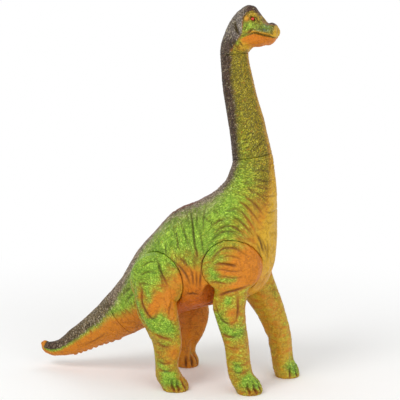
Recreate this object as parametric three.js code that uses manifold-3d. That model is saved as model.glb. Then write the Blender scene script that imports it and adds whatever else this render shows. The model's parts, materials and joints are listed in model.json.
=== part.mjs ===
// Toy sauropod: hollow soft-vinyl castings that plug into each other and turn on hard plastic snap joints.
// Millimetres. +X is the way the animal faces, +Y its left, +Z up. Soles on z = 0.
import * as THREE from 'three';
import { mergeVertices } from 'three/addons/utils/BufferGeometryUtils.js';
import Module from 'manifold-3d';

const wasm = await Module();
wasm.setup();

// Driving dimensions of the trunk
const hipHeight = 114;
const trunkLength = 120; // hip axle to the front of the chest
const trunkHeight = 100; // hip axle to the withers
const trunkHalfWidth = 48;
const hipRadius = 30;
const hipRimReach = 11; // how far the hip drum runs out before its dome starts
const hipDome = 17;
const shoulderRadius = 29;
const shoulderRimReach = 9;
const shoulderDome = 15;
const drumRise = 1.6; // how far a leg's drum stands proud of the trunk's skin

// Driving dimensions of the legs, neck, head and tail
const hindLegBreadth = 50;
const foreLegBreadth = 50;
const neckRise = 106;
const neckRootRadius = 21;
const neckTopRadius = 14.8;
const neckSetback = 19.7; // how far the neck leans back from its lower seam to its upper one
const headLength = 48;
const headHeight = 49;
const headHalfWidth = 17;
const eyeRadius = 3.4;
const tailLength = 95;
const tailRootRadius = 26;

// Skin and joint hardware
const skinWall = 2.4;
const fitGap = 0.3; // between a fixed piece and its seat
const turnGap = 0.4; // between two faces that turn on each other
const swingGap = 0.8; // round a leg that swings past the trunk
const cutOverrun = 6;
const largeStemRadius = 9;
const smallStemRadius = 5.5;
const ringWall = 2.6;
const flangeOverlap = 2.6;
const flangeThickness = 2;
const barbOverlap = 2;
const barbLength = 7;
const barbTaper = 2.5;
const eyeSeatDepth = 2.6;

// Angles in degrees and counts
const tailAxisDip = 35;
const neckRootLean = 10;
const neckTopLean = 2;
const hindSwing = 15;
const foreSwing = 20;
const eyeLift = 25; // how far the eyes look up from sideways
const trunkSides = 24;
const limbSides = 18;
const innerSides = 12;
const turnedSides = 16;
const drumSides = 24;

// Places of the joints from the hip axle, as shares of the trunk's length and height
const shoulderPlaceShares = [0.667, 0.19];
const neckPlaceShares = [0.7625, 1.3];
const tailPlaceShares = [-0.433, -0.47];

// Distances from the middle plane as shares of the trunk's half width
const hipInnerShare = 0.594; // flat inner face of a hind leg
const shoulderInnerShare = 0.458;
const hindSpreadShare = 0.948; // middle of a hind leg
const foreSpreadShare = 0.74;
const hindWidthShare = 0.302; // half width of a hind leg
const foreWidthShare = 0.292;

// Trunk hoops from rump to neck: top x, top z, bottom x, bottom z, half width, droop
const trunkHoopShares = [
  [-0.42, -0.05, -0.21, -0.62, 0.58, 0],
  [-0.28, 0.24, -0.03, -0.53, 0.75, 0.05],
  [-0.13, 0.44, 0.16, -0.41, 0.9, 0.1],
  [0.04, 0.66, 0.39, -0.32, 1, 0.14],
  [0.18, 0.75, 0.63, -0.24, 1, 0.14],
  [0.29, 0.82, 0.85, -0.13, 0.94, 0.08],
  [0.39, 0.89, 0.95, 0.11, 0.86, 0],
  [0.47, 0.96, 0.98, 0.41, 0.74, -0.04],
  [0.53, 1.05, 0.985, 0.74, 0.62, -0.03],
  [0.57, 1.17, 0.97, 1.02, 0.53, 0],
];

// Neck hoops above the lower seam: middle x, middle z as shares of the rise, radius share, lean in degrees
const neckHoopShares = [
  [-0.057, 0.283, 0.92, 12],
  [-0.118, 0.528, 0.83, 12],
  [-0.156, 0.717, 0.79, 9],
  [-0.179, 0.877, 0.72, 4],
];

// Head hoops from the throat to the snout: top x, top z, bottom x, bottom z, half width, droop
const headHoopShares = [
  [-0.29, 0.2, 0.36, 0.05, 0.9, 0],
  [-0.2, 0.49, 0.48, 0.11, 1, 0.1],
  [-0.06, 0.75, 0.63, 0.11, 1, 0.28],
  [0.19, 0.96, 0.71, 0.13, 0.96, 0.42],
  [0.43, 0.97, 0.77, 0.16, 0.9, 0.42],
  [0.62, 0.76, 0.83, 0.21, 0.84, 0.2],
  [0.71, 0.65, 0.89, 0.27, 0.8, 0.05],
  [0.84, 0.615, 0.96, 0.33, 0.72, 0],
  [0.95, 0.56, 0.99, 0.39, 0.5, 0],
];
const eyeShares = [0.46, 0.735]; // ahead of and above the head seam
const eyeOutShare = 0.7; // of the head's half width
const eyeDomeShare = 0.5; // how far the eye bulges, as a share of its radius

// Tail hoops from the seam to the tip: top x, top z, bottom x, bottom z, half width
const tailHoopShares = [
  [-0.27, 0.08, -0.03, -0.32, 0.85],
  [-0.4, -0.05, -0.23, -0.395, 0.69],
  [-0.537, -0.174, -0.41, -0.474, 0.57],
  [-0.663, -0.274, -0.568, -0.542, 0.48],
  [-0.779, -0.374, -0.705, -0.572, 0.38],
  [-0.874, -0.41, -0.842, -0.582, 0.3],
  [-0.947, -0.41, -0.953, -0.547, 0.22],
  [-0.989, -0.426, -1, -0.489, 0.11],
];
const tailHollowHoops = 5; // the tip beyond is solid

// Leg hoops from the axle to the sole: height, front, rear, half width
const rightHindShares = [
  [1.1, 0.26, -0.3, 0.5],
  [1, 0.44, -0.46, 0.9],
  [0.86, 0.44, -0.46, 1],
  [0.69, 0.5, -0.4, 1],
  [0.58, 0.54, -0.26, 0.93],
  [0.456, 0.57, -0.04, 0.86],
  [0.37, 0.56, 0, 0.82],
  [0.27, 0.49, 0.02, 0.79],
  [0.2, 0.48, 0.03, 0.83],
  [0.13, 0.57, 0.03, 0.93],
  [0.07, 0.69, 0.08, 1],
  [0.018, 0.72, 0.14, 1],
  [0, 0.7, 0.16, 0.96],
];
const leftHindShares = [
  [1.1, 0.26, -0.3, 0.5],
  [1, 0.44, -0.46, 0.9],
  [0.86, 0.46, -0.46, 1],
  [0.69, 0.6, -0.38, 1],
  [0.55, 0.67, -0.2, 0.93],
  [0.456, 0.64, -0.1, 0.86],
  [0.34, 0.55, -0.1, 0.82],
  [0.27, 0.47, -0.14, 0.79],
  [0.2, 0.37, -0.18, 0.83],
  [0.13, 0.34, -0.2, 0.93],
  [0.07, 0.4, -0.17, 1],
  [0.018, 0.42, -0.12, 1],
  [0, 0.4, -0.1, 0.96],
];
const rightForeShares = [
  [1.1, 0.22, -0.26, 0.45],
  [0.98, 0.38, -0.4, 0.88],
  [0.81, 0.33, -0.38, 1],
  [0.66, 0.28, -0.39, 1],
  [0.526, 0.31, -0.28, 0.93],
  [0.376, 0.366, -0.13, 0.88],
  [0.25, 0.394, -0.1, 0.88],
  [0.15, 0.44, -0.07, 0.92],
  [0.075, 0.62, 0.02, 1],
  [0.015, 0.66, 0.09, 1],
  [0, 0.64, 0.11, 0.96],
];
const leftForeShares = [
  [1.1, 0.22, -0.26, 0.45],
  [0.98, 0.42, -0.4, 0.88],
  [0.81, 0.54, -0.38, 1],
  [0.66, 0.7, -0.16, 1],
  [0.55, 0.8, 0.08, 0.95],
  [0.45, 0.88, 0.31, 0.9],
  [0.34, 0.95, 0.44, 0.88],
  [0.21, 0.98, 0.53, 0.88],
  [0.13, 1, 0.57, 0.92],
  [0.07, 1.1, 0.57, 1],
  [0.015, 1.14, 0.58, 1],
  [0, 1.12, 0.6, 0.96],
];
const swingHoopCount = 6; // leg hoops that can reach the trunk
const swingStepCount = 6;

const toRadians = THREE.MathUtils.degToRad;

// Solids
function toSolid(geometry) {
  const bare = geometry.index ? geometry.toNonIndexed() : geometry.clone();
  bare.deleteAttribute('normal');
  bare.deleteAttribute('uv');
  const merged = mergeVertices(bare);
  return new wasm.Manifold(new wasm.Mesh({
    numProp: 3,
    vertProperties: new Float32Array(merged.attributes.position.array),
    triVerts: new Uint32Array(merged.index.array),
  }));
}

function toGeometry(solid) {
  const mesh = solid.getMesh();
  const geometry = new THREE.BufferGeometry();
  geometry.setAttribute('position', new THREE.BufferAttribute(mesh.vertProperties, 3));
  geometry.setIndex(new THREE.BufferAttribute(mesh.triVerts, 1));
  const flat = geometry.toNonIndexed();
  flat.computeVertexNormals();
  return flat;
}

// A hoop is an oval cross-section, set by its two far points in the side view and its half width
function makeHoop(top, bottom, halfWidth, sideways = 0, droop = 0) {
  return { top, bottom, halfWidth, sideways, droop };
}

function shrinkHoop(hoop, by) {
  const middle = hoop.top.clone().add(hoop.bottom).multiplyScalar(0.5);
  const half = hoop.top.clone().sub(middle);
  half.setLength(half.length() - by);
  return {
    ...hoop,
    top: middle.clone().add(half),
    bottom: middle.clone().sub(half),
    halfWidth: hoop.halfWidth - by,
  };
}

function mixHoops(hoops, at) {
  const first = Math.min(Math.floor(at), hoops.length - 2);
  const t = at - first;
  const near = [-1, 0, 1, 2].map((step) => hoops[THREE.MathUtils.clamp(first + step, 0, hoops.length - 1)]);
  const curve = (pick) => {
    const [p, q, r, s] = near.map(pick);
    return q + 0.5 * t * (r - p + t * (2 * p - 5 * q + 4 * r - s + t * (3 * (q - r) + s - p)));
  };
  return {
    top: new THREE.Vector2(curve((h) => h.top.x), curve((h) => h.top.y)),
    bottom: new THREE.Vector2(curve((h) => h.bottom.x), curve((h) => h.bottom.y)),
    halfWidth: curve((h) => h.halfWidth),
    sideways: curve((h) => h.sideways),
    droop: curve((h) => h.droop),
  };
}

// Closed skin through a row of hoops, with flat ends
function skinSolid(hoops, sides, stepsBetween) {
  const rings = [];
  const last = (hoops.length - 1) * stepsBetween;
  for (let i = 0; i <= last; i += 1) rings.push(mixHoops(hoops, i / stepsBetween));
  const points = [];
  rings.forEach((ring) => {
    const middle = ring.top.clone().add(ring.bottom).multiplyScalar(0.5);
    const half = ring.top.clone().sub(middle);
    for (let i = 0; i < sides; i += 1) {
      const turn = (2 * Math.PI * i) / sides;
      const up = Math.cos(turn);
      const out = Math.sin(turn) * (1 - ring.droop * up);
      points.push([middle.x + half.x * up, ring.sideways + ring.halfWidth * out, middle.y + half.y * up]);
    }
  });
  const faces = [];
  const at = (ring, side) => ring * sides + (side % sides);
  for (let r = 0; r < last; r += 1) {
    for (let i = 0; i < sides; i += 1) {
      faces.push([at(r, i), at(r, i + 1), at(r + 1, i + 1)], [at(r, i), at(r + 1, i + 1), at(r + 1, i)]);
    }
  }
  for (let i = 1; i < sides - 1; i += 1) {
    faces.push([at(0, 0), at(0, i + 1), at(0, i)], [at(last, 0), at(last, i), at(last, i + 1)]);
  }
  const solid = facesToSolid(points, faces);
  return solid.volume() > 0 ? solid : facesToSolid(points, faces.map(([a, b, c]) => [a, c, b]));
}

function facesToSolid(points, faces) {
  const geometry = new THREE.BufferGeometry();
  const corners = faces.flat().flatMap((corner) => points[corner]);
  geometry.setAttribute('position', new THREE.Float32BufferAttribute(corners, 3));
  return toSolid(geometry);
}

// Turned solid: profile of [radius, distance along the axis], set on a place and a direction
function turnedSolid(profile, place, direction, sides = turnedSides) {
  return toSolid(turnedGeometry(profile, sides).applyMatrix4(axisMatrix(place, direction)));
}

function turnedGeometry(profile, sides) {
  const points = profile.map(([radius, along]) => new THREE.Vector2(radius, along));
  if (points[0].y > points[points.length - 1].y) points.reverse();
  return new THREE.LatheGeometry(points, sides);
}

function axisMatrix(place, direction) {
  const turn = new THREE.Quaternion().setFromUnitVectors(new THREE.Vector3(0, 1, 0), direction);
  return new THREE.Matrix4().compose(place, turn, new THREE.Vector3(1, 1, 1));
}

function rodProfile(radius, from, to) {
  return [[0, from], [radius, from], [radius, to], [0, to]];
}

// Joints: the place lies on the turning part's face, and the direction points into the part that carries it
function jointPlace([ahead, above], sideways = 0) {
  return new THREE.Vector3(trunkLength * ahead, sideways, hipHeight + trunkHeight * above);
}

function leanDirection(degrees) {
  return new THREE.Vector3(Math.sin(toRadians(degrees)), 0, -Math.cos(toRadians(degrees)));
}

const neckSeam = jointPlace(neckPlaceShares);
const headSeam = new THREE.Vector3(neckSeam.x - neckSetback, 0, neckSeam.z + neckRise);
const tailSeam = jointPlace(tailPlaceShares);

const joints = {
  neck: { place: neckSeam, into: leanDirection(neckRootLean), radius: neckRootRadius, stem: largeStemRadius },
  head: { place: headSeam, into: leanDirection(neckTopLean), radius: neckTopRadius, stem: smallStemRadius },
  tail: {
    place: tailSeam,
    into: new THREE.Vector3(Math.cos(toRadians(tailAxisDip)), 0, Math.sin(toRadians(tailAxisDip))),
    radius: tailRootRadius,
    stem: largeStemRadius,
  },
  right_foreleg: legJoint(-1, shoulderPlaceShares, shoulderInnerShare, shoulderRadius),
  left_foreleg: legJoint(1, shoulderPlaceShares, shoulderInnerShare, shoulderRadius),
  right_hindleg: legJoint(-1, [0, 0], hipInnerShare, hipRadius),
  left_hindleg: legJoint(1, [0, 0], hipInnerShare, hipRadius),
};

function legJoint(side, placeShares, innerShare, radius) {
  return {
    place: jointPlace(placeShares, side * trunkHalfWidth * innerShare),
    into: new THREE.Vector3(0, -side, 0),
    radius,
    stem: largeStemRadius,
    side,
  };
}

// The round hoop of a seam, moved along the joint's axis, with its top towards the animal's back
function seamHoop(joint, along, radius = joint.radius) {
  const { place, into } = joint;
  const middle = new THREE.Vector2(place.x + into.x * along, place.z + into.z * along);
  const across = new THREE.Vector2(into.z, -into.x).setLength(radius);
  if (across.x > 0) across.negate();
  return makeHoop(middle.clone().add(across), middle.clone().sub(across), radius);
}

// Holes for the joint hardware
function stemHole(joint) {
  return turnedSolid(rodProfile(joint.stem + fitGap, -cutOverrun, cutOverrun), joint.place, joint.into);
}

function ringHole(joint) {
  const radius = joint.stem + turnGap + ringWall + fitGap;
  const reach = turnGap + skinWall + cutOverrun;
  return turnedSolid(rodProfile(radius, -cutOverrun, reach), joint.place, joint.into);
}

// Snap plug, fixed in the part that turns
function plugGeometry(joint) {
  const { stem } = joint;
  const base = -skinWall - fitGap;
  const barb = turnGap + skinWall + fitGap + flangeThickness + fitGap;
  return turnedGeometry([
    [0, base - flangeThickness],
    [stem + flangeOverlap, base - flangeThickness],
    [stem + flangeOverlap, base],
    [stem, base],
    [stem, barb],
    [stem + barbOverlap, barb],
    [stem + barbOverlap, barb + barbOverlap],
    [stem - barbTaper, barb + barbLength],
    [0, barb + barbLength],
  ], turnedSides);
}

// Socket ring that lines the hole, fixed in the part that carries the joint
function ringGeometry(joint) {
  const bore = joint.stem + turnGap;
  const outer = bore + ringWall;
  const flange = turnGap + skinWall + fitGap;
  return turnedGeometry([
    [bore, turnGap],
    [outer, turnGap],
    [outer, flange],
    [outer + flangeOverlap, flange],
    [outer + flangeOverlap, flange + flangeThickness],
    [bore, flange + flangeThickness],
    [bore, turnGap],
  ], turnedSides);
}

// Trunk
function trunkPoint(xShare, zShare) {
  return new THREE.Vector2(trunkLength * xShare, hipHeight + trunkHeight * zShare);
}

function trunkHoops(wall) {
  const inner = trunkHoopShares.map(([tx, tz, bx, bz, width, droop]) => (
    makeHoop(trunkPoint(tx, tz), trunkPoint(bx, bz), trunkHalfWidth * width, 0, droop)
  ));
  const ends = [joints.tail, joints.neck].map((joint) => seamHoop(joint, turnGap + wall));
  return [ends[0], ...inner, ends[1]].map((hoop) => shrinkHoop(hoop, wall));
}

// Space that a leg's drum and its swing take up in the trunk, grown by a gap
function legSpace(leg, grow) {
  const joint = joints[leg.name];
  const reach = trunkHalfWidth;
  const drum = rodProfile(joint.radius + grow, -reach, grow);
  const bucket = turnedSolid(drum, joint.place, joint.into, drumSides);
  const growShank = grow - turnGap + swingGap;
  const hoops = legHoops(leg).slice(0, swingHoopCount).map((hoop) => shrinkHoop(hoop, -growShank));
  const shank = skinSolid(hoops, innerSides, 1);
  const axle = new THREE.Vector3(joint.place.x, 0, joint.place.z);
  let space = bucket;
  for (let i = 0; i <= swingStepCount; i += 1) {
    const degrees = leg.swing * (2 * i / swingStepCount - 1);
    space = space.add(turnAbout(shank, axle, degrees));
  }
  return space;
}

function turnAbout(solid, axle, degrees) {
  return solid.translate(-axle.x, -axle.y, -axle.z).rotate(0, degrees, 0).translate(axle.x, axle.y, axle.z);
}

function torsoShell() {
  let body = skinSolid(trunkHoops(0), trunkSides, 2);
  let hollow = skinSolid(trunkHoops(skinWall), innerSides, 1);
  legs.forEach((leg) => {
    body = body.subtract(legSpace(leg, turnGap));
    hollow = hollow.subtract(legSpace(leg, turnGap + skinWall));
  });
  body = body.subtract(hollow);
  Object.entries(joints).forEach(([name, joint]) => {
    if (name !== 'head') body = body.subtract(ringHole(joint));
  });
  return body;
}

// Neck, head and tail
function neckHoops(wall) {
  const between = neckHoopShares.map(([xShare, zShare, radiusShare, lean]) => {
    const place = new THREE.Vector3(neckSeam.x + neckRise * xShare, 0, neckSeam.z + neckRise * zShare);
    return seamHoop({ place, into: leanDirection(lean) }, 0, neckRootRadius * radiusShare);
  });
  const low = seamHoop(joints.neck, -wall);
  const high = seamHoop(joints.head, turnGap + wall);
  return [low, ...between, high].map((hoop) => (wall > 0 ? shrinkHoop(hoop, wall) : hoop));
}

function neckShell() {
  const hollow = skinSolid(neckHoops(skinWall), innerSides, 1);
  return skinSolid(neckHoops(0), limbSides, 2)
    .subtract(hollow)
    .subtract(stemHole(joints.neck))
    .subtract(ringHole(joints.head));
}

function headPoint(xShare, zShare) {
  return new THREE.Vector2(headSeam.x + headLength * xShare, headSeam.z + headHeight * zShare);
}

function headHoops(wall) {
  const hoops = headHoopShares.map(([tx, tz, bx, bz, width, droop]) => (
    makeHoop(headPoint(tx, tz), headPoint(bx, bz), headHalfWidth * width, 0, droop)
  ));
  const used = wall > 0 ? hoops.slice(0, -1) : hoops;
  return [seamHoop(joints.head, -wall), ...used].map((hoop) => (wall > 0 ? shrinkHoop(hoop, wall) : hoop));
}

function eyePlace(side) {
  const [ahead, above] = eyeShares;
  const point = headPoint(ahead, above);
  return new THREE.Vector3(point.x, side * headHalfWidth * eyeOutShare, point.y);
}

function eyeDirection(side) {
  return new THREE.Vector3(0, side * Math.cos(toRadians(eyeLift)), Math.sin(toRadians(eyeLift)));
}

function headShell() {
  const hollow = skinSolid(headHoops(skinWall), innerSides, 1);
  let head = skinSolid(headHoops(0), limbSides, 2).subtract(hollow).subtract(stemHole(joints.head));
  [-1, 1].forEach((side) => {
    const socket = rodProfile(eyeRadius + fitGap, -eyeSeatDepth - fitGap - cutOverrun, cutOverrun);
    head = head.subtract(turnedSolid(socket, eyePlace(side), eyeDirection(side)));
  });
  return head;
}

function eyeGeometry() {
  const domeSteps = 4;
  const dome = [];
  for (let i = 0; i <= domeSteps; i += 1) {
    const turn = (Math.PI / 2) * (i / domeSteps);
    dome.push([eyeRadius * Math.cos(turn), eyeRadius * eyeDomeShare * Math.sin(turn)]);
  }
  dome[domeSteps][0] = 0;
  return turnedGeometry([[0, -eyeSeatDepth], [eyeRadius, -eyeSeatDepth], ...dome], turnedSides);
}

function tailHoops(wall) {
  const point = (xShare, zShare) => (
    new THREE.Vector2(tailSeam.x + tailLength * xShare, tailSeam.z + tailLength * zShare)
  );
  const hoops = tailHoopShares.map(([tx, tz, bx, bz, width]) => (
    makeHoop(point(tx, tz), point(bx, bz), tailRootRadius * width)
  ));
  const used = wall > 0 ? hoops.slice(0, tailHollowHoops) : hoops;
  return [seamHoop(joints.tail, -wall), ...used].map((hoop) => (wall > 0 ? shrinkHoop(hoop, wall) : hoop));
}

function tailShell() {
  const hollow = skinSolid(tailHoops(skinWall), innerSides, 1);
  return skinSolid(tailHoops(0), limbSides, 1).subtract(hollow).subtract(stemHole(joints.tail));
}

// Legs: a drum in the trunk's pocket, and a shank down to the sole
const hindSizes = {
  breadth: hindLegBreadth,
  halfWidth: trunkHalfWidth * hindWidthShare,
  spread: trunkHalfWidth * hindSpreadShare,
  rimReach: hipRimReach,
  dome: hipDome,
  swing: hindSwing,
};
const foreSizes = {
  breadth: foreLegBreadth,
  halfWidth: trunkHalfWidth * foreWidthShare,
  spread: trunkHalfWidth * foreSpreadShare,
  rimReach: shoulderRimReach,
  dome: shoulderDome,
  swing: foreSwing,
};
const legs = [
  { name: 'right_foreleg', shares: rightForeShares, ...foreSizes },
  { name: 'left_foreleg', shares: leftForeShares, ...foreSizes },
  { name: 'right_hindleg', shares: rightHindShares, ...hindSizes },
  { name: 'left_hindleg', shares: leftHindShares, ...hindSizes },
];

function legHoops(leg) {
  const { place, side } = joints[leg.name];
  return leg.shares.map(([height, front, rear, width]) => {
    const z = place.z * height;
    const ahead = new THREE.Vector2(place.x + leg.breadth * front, z);
    const behind = new THREE.Vector2(place.x + leg.breadth * rear, z);
    return makeHoop(behind, ahead, leg.halfWidth * width, side * leg.spread);
  });
}

// The drum fills the trunk's pocket and carries the trunk's own skin across it, with the muscle domed on top
function legDrum(leg, wall) {
  const joint = joints[leg.name];
  const sides = wall > 0 ? innerSides : drumSides;
  const post = rodProfile(joint.radius - wall, -trunkHalfWidth, -wall);
  const skin = skinSolid(trunkHoops(wall - drumRise), trunkSides, 1);
  const dome = turnedSolid(drumProfile(joint, leg, wall), joint.place, joint.into, sides);
  return turnedSolid(post, joint.place, joint.into, sides).intersect(skin.add(dome));
}

function drumProfile(joint, leg, wall) {
  const domeSteps = 5;
  const radius = joint.radius - wall;
  const profile = [[0, -wall], [radius, -wall], [radius, -leg.rimReach]];
  for (let i = 1; i <= domeSteps; i += 1) {
    const turn = (Math.PI / 2) * (i / domeSteps);
    profile.push([radius * Math.cos(turn), -leg.rimReach - (leg.dome - wall) * Math.sin(turn)]);
  }
  profile[profile.length - 1][0] = 0;
  return profile;
}

function legShell(leg) {
  const joint = joints[leg.name];
  const outer = legHoops(leg);
  const inner = outer.map((hoop) => shrinkHoop(hoop, skinWall));
  inner[inner.length - 1].top.y += skinWall;
  inner[inner.length - 1].bottom.y += skinWall;
  inner.splice(inner.length - 2, 1);
  const body = skinSolid(outer, limbSides, 1).add(legDrum(leg, 0));
  const hollow = skinSolid(inner, innerSides, 1).add(legDrum(leg, skinWall));
  return body.subtract(hollow).subtract(stemHole(joint));
}

// Materials
function plastic(colour, roughness) {
  return new THREE.MeshStandardMaterial({ color: colour, roughness, metalness: 0 });
}
const greenVinyl = plastic('#8fa42c', 0.4);
const orangeVinyl = plastic('#d98324', 0.4);
const oliveVinyl = plastic('#8c8a35', 0.4);
const eyeGloss = plastic('#c2401c', 0.15);
const jointPlastic = plastic('#d8d4c8', 0.5);

// Assembly
const figure = new THREE.Group();

function addShell(name, solid, material) {
  const mesh = new THREE.Mesh(toGeometry(solid), material);
  mesh.name = name;
  figure.add(mesh);
}

addShell('torso_shell', torsoShell(), greenVinyl);
addShell('neck_shell', neckShell(), oliveVinyl);
addShell('head_shell', headShell(), oliveVinyl);
addShell('tail_shell', tailShell(), orangeVinyl);
legs.forEach((leg) => addShell(`${leg.name}_shell`, legShell(leg), orangeVinyl));

Object.entries(joints).forEach(([name, joint]) => {
  const hardware = new THREE.Group();
  hardware.position.copy(joint.place);
  hardware.quaternion.setFromUnitVectors(new THREE.Vector3(0, 1, 0), joint.into);
  const plug = new THREE.Mesh(plugGeometry(joint), jointPlastic);
  plug.name = `${name}_plug`;
  const socket = new THREE.Mesh(ringGeometry(joint), jointPlastic);
  socket.name = `${name}_socket`;
  hardware.add(plug, socket);
  figure.add(hardware);
});

[['right_eye', -1], ['left_eye', 1]].forEach(([name, side]) => {
  const eye = new THREE.Mesh(eyeGeometry(), eyeGloss);
  eye.name = name;
  eye.position.copy(eyePlace(side));
  eye.quaternion.setFromUnitVectors(new THREE.Vector3(0, 1, 0), eyeDirection(side));
  figure.add(eye);
});

// The origin is the middle of the bounding box on the ground
figure.updateMatrixWorld(true);
const bounds = new THREE.Box3().setFromObject(figure);
figure.position.set(-(bounds.min.x + bounds.max.x) / 2, -(bounds.min.y + bounds.max.y) / 2, -bounds.min.z);

export default figure;
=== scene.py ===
import json
import math

import bmesh
import bpy
import numpy as np
from mathutils import Matrix, Vector
from mathutils.bvhtree import BVHTree
from mathutils.kdtree import KDTree


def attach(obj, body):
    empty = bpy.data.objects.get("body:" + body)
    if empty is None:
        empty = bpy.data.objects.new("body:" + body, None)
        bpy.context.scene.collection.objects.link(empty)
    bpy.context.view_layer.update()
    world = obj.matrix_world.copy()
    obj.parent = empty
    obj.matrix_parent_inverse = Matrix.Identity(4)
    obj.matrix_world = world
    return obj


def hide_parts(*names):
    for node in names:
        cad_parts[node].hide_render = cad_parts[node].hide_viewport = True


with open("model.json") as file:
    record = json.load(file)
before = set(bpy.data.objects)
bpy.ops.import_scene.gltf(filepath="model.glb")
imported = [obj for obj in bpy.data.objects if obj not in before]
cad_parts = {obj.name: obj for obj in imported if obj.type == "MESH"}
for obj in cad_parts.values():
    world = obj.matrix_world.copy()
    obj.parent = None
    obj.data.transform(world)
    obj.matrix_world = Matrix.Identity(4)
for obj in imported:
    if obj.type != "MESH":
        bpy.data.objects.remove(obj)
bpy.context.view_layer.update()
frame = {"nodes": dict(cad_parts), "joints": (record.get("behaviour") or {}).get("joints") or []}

scene = bpy.context.scene
mm = 0.001


def paint(code):
    # a hex paint code as the linear colour that sockets take
    parts = [int(code[i:i + 2], 16) / 255 for i in (1, 3, 5)]
    return tuple(c / 12.92 if c <= 0.04045 else ((c + 0.055) / 1.055) ** 2.4 for c in parts) + (1.0,)


def addNode(tree, kind, inputs=None, **settings):
    # the inputs, by name or number, are sockets to link or values to set
    node = tree.nodes.new(kind)
    for key, value in settings.items():
        setattr(node, key, value)
    for key, value in (inputs or {}).items():
        if isinstance(value, bpy.types.NodeSocket):
            tree.links.new(value, node.inputs[key])
        else:
            node.inputs[key].default_value = value
    return node


def maths(tree, operation, *values, clamp=False):
    inputs = dict(enumerate(values))
    return addNode(tree, "ShaderNodeMath", inputs, operation=operation, use_clamp=clamp).outputs[0]


def times(tree, product, *factors, clamp=False):
    for factor in factors:
        product = maths(tree, "MULTIPLY", product, factor, clamp=clamp)
    return product


def vectorMaths(tree, operation, *vectors):
    return addNode(tree, "ShaderNodeVectorMath", dict(enumerate(vectors)), operation=operation).outputs[0]


def scaled(tree, vector, factor):
    inputs = {"Vector": vector, "Scale": factor}
    return addNode(tree, "ShaderNodeVectorMath", inputs, operation="SCALE").outputs[0]


def mixed(tree, share, under, over, blend="MIX"):
    inputs = {0: share, 6: under, 7: over}
    return addNode(tree, "ShaderNodeMix", inputs, data_type="RGBA", blend_type=blend).outputs[2]


def ramp(tree, value, low, high, toLow=0.0, toHigh=1.0):
    inputs = {"Value": value, "From Min": low, "From Max": high, "To Min": toLow, "To Max": toHigh}
    return addNode(tree, "ShaderNodeMapRange", inputs, interpolation_type="SMOOTHSTEP").outputs["Result"]


def band(tree, value, centre, inner, outer):
    # 1 while the value is close to the centre, falling to 0 between the inner and the outer distance
    away = maths(tree, "ABSOLUTE", maths(tree, "SUBTRACT", value, centre))
    return ramp(tree, away, inner, outer, 1.0, 0.0)


def noise(tree, vector, density, detail, rough=0.5, distortion=0.0):
    inputs = {"Vector": vector, "Scale": density, "Detail": detail, "Roughness": rough,
              "Distortion": distortion}
    return addNode(tree, "ShaderNodeTexNoise", inputs).outputs


def wobble(tree, cloud, reach):
    # a shift of the place that follows the colours of a noise
    return scaled(tree, vectorMaths(tree, "SUBTRACT", cloud["Color"], (0.5, 0.5, 0.5)), reach)


def cells(tree, vector, density, feature="DISTANCE_TO_EDGE"):
    inputs = {"Vector": vector, "Scale": density}
    return addNode(tree, "ShaderNodeTexVoronoi", inputs, feature=feature).outputs


def marked(tree, name, output="Fac"):
    return addNode(tree, "ShaderNodeAttribute", attribute_name=name).outputs[output]


def objectPlace(tree):
    return addNode(tree, "ShaderNodeTexCoord").outputs["Object"]


def newMaterial(name, values):
    material = bpy.data.materials.new(name)
    material.use_nodes = True
    shader = material.node_tree.nodes["Principled BSDF"]
    for label, value in values.items():
        shader.inputs[label].default_value = value
    return material, material.node_tree, shader


def newGroup(name, kind, inputs, outputs):
    # inputs as (label, kind, value), outputs as (label, kind)
    tree = bpy.data.node_groups.new(name, kind + "NodeTree")
    for label, socketKind, value in inputs:
        socket = tree.interface.new_socket(label, in_out="INPUT", socket_type="NodeSocket" + socketKind)
        if value is not None:
            socket.default_value = value
    for label, socketKind in outputs:
        tree.interface.new_socket(label, in_out="OUTPUT", socket_type="NodeSocket" + socketKind)
    return tree, addNode(tree, "NodeGroupInput").outputs, addNode(tree, "NodeGroupOutput")


def addBump(tree, shader, height, depth):
    bump = addNode(tree, "ShaderNodeBump", {"Height": height, "Strength": 1.0, "Distance": depth * mm})
    tree.links.new(bump.outputs["Normal"], shader.inputs["Normal"])


def addObject(name, data):
    obj = bpy.data.objects.new(name, data)
    scene.collection.objects.link(obj)
    return obj


# camera, light and floor: places in m, sizes of lamps and paper in m
studio = {
    "cameraPlace": (0.4707, -1.5163, 0.4725),
    "cameraAim": (0.0402, -0.0003, 0.1947),
    "lens": 136.8,
    "farEnd": 100.0,
    "lampAim": (0, 0, 0.2),
    "keySoftbox": {"place": (-0.55, -1.35, 1.6), "power": 13.5, "size": 0.9},
    "fillSoftbox": {"place": (1.3, -1.2, 0.5), "power": 10.0, "size": 1.4},
    "rimSoftbox": {"place": (0.1, 1.3, 1.6), "power": 4.0, "size": 1.0},
    "skyStrength": 0.66,
    "white": (1, 1, 1, 1),
    "paperColour": "#FDFDFC",
    "paperSpan": 60.0,
    "paperNear": 0.2,
    "paperFar": 0.65,
}


def addCamera(s):
    data = bpy.data.cameras.new("photoCamera")
    data.lens = s["lens"]
    data.clip_end = s["farEnd"]
    camera = addObject("photoCamera", data)
    camera.location = s["cameraPlace"]
    aim = Vector(s["cameraAim"]) - Vector(s["cameraPlace"])
    camera.rotation_euler = aim.to_track_quat("-Z", "Y").to_euler()
    scene.camera = camera


def addSoftbox(name, s):
    data = bpy.data.lights.new(name, "AREA")
    data.shape = "DISK"
    data.size = s[name]["size"]
    data.energy = s[name]["power"]
    lamp = addObject(name, data)
    lamp.location = s[name]["place"]
    toward = Vector(s["lampAim"]) - Vector(s[name]["place"])
    lamp.rotation_euler = toward.to_track_quat("-Z", "Y").to_euler()


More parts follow.
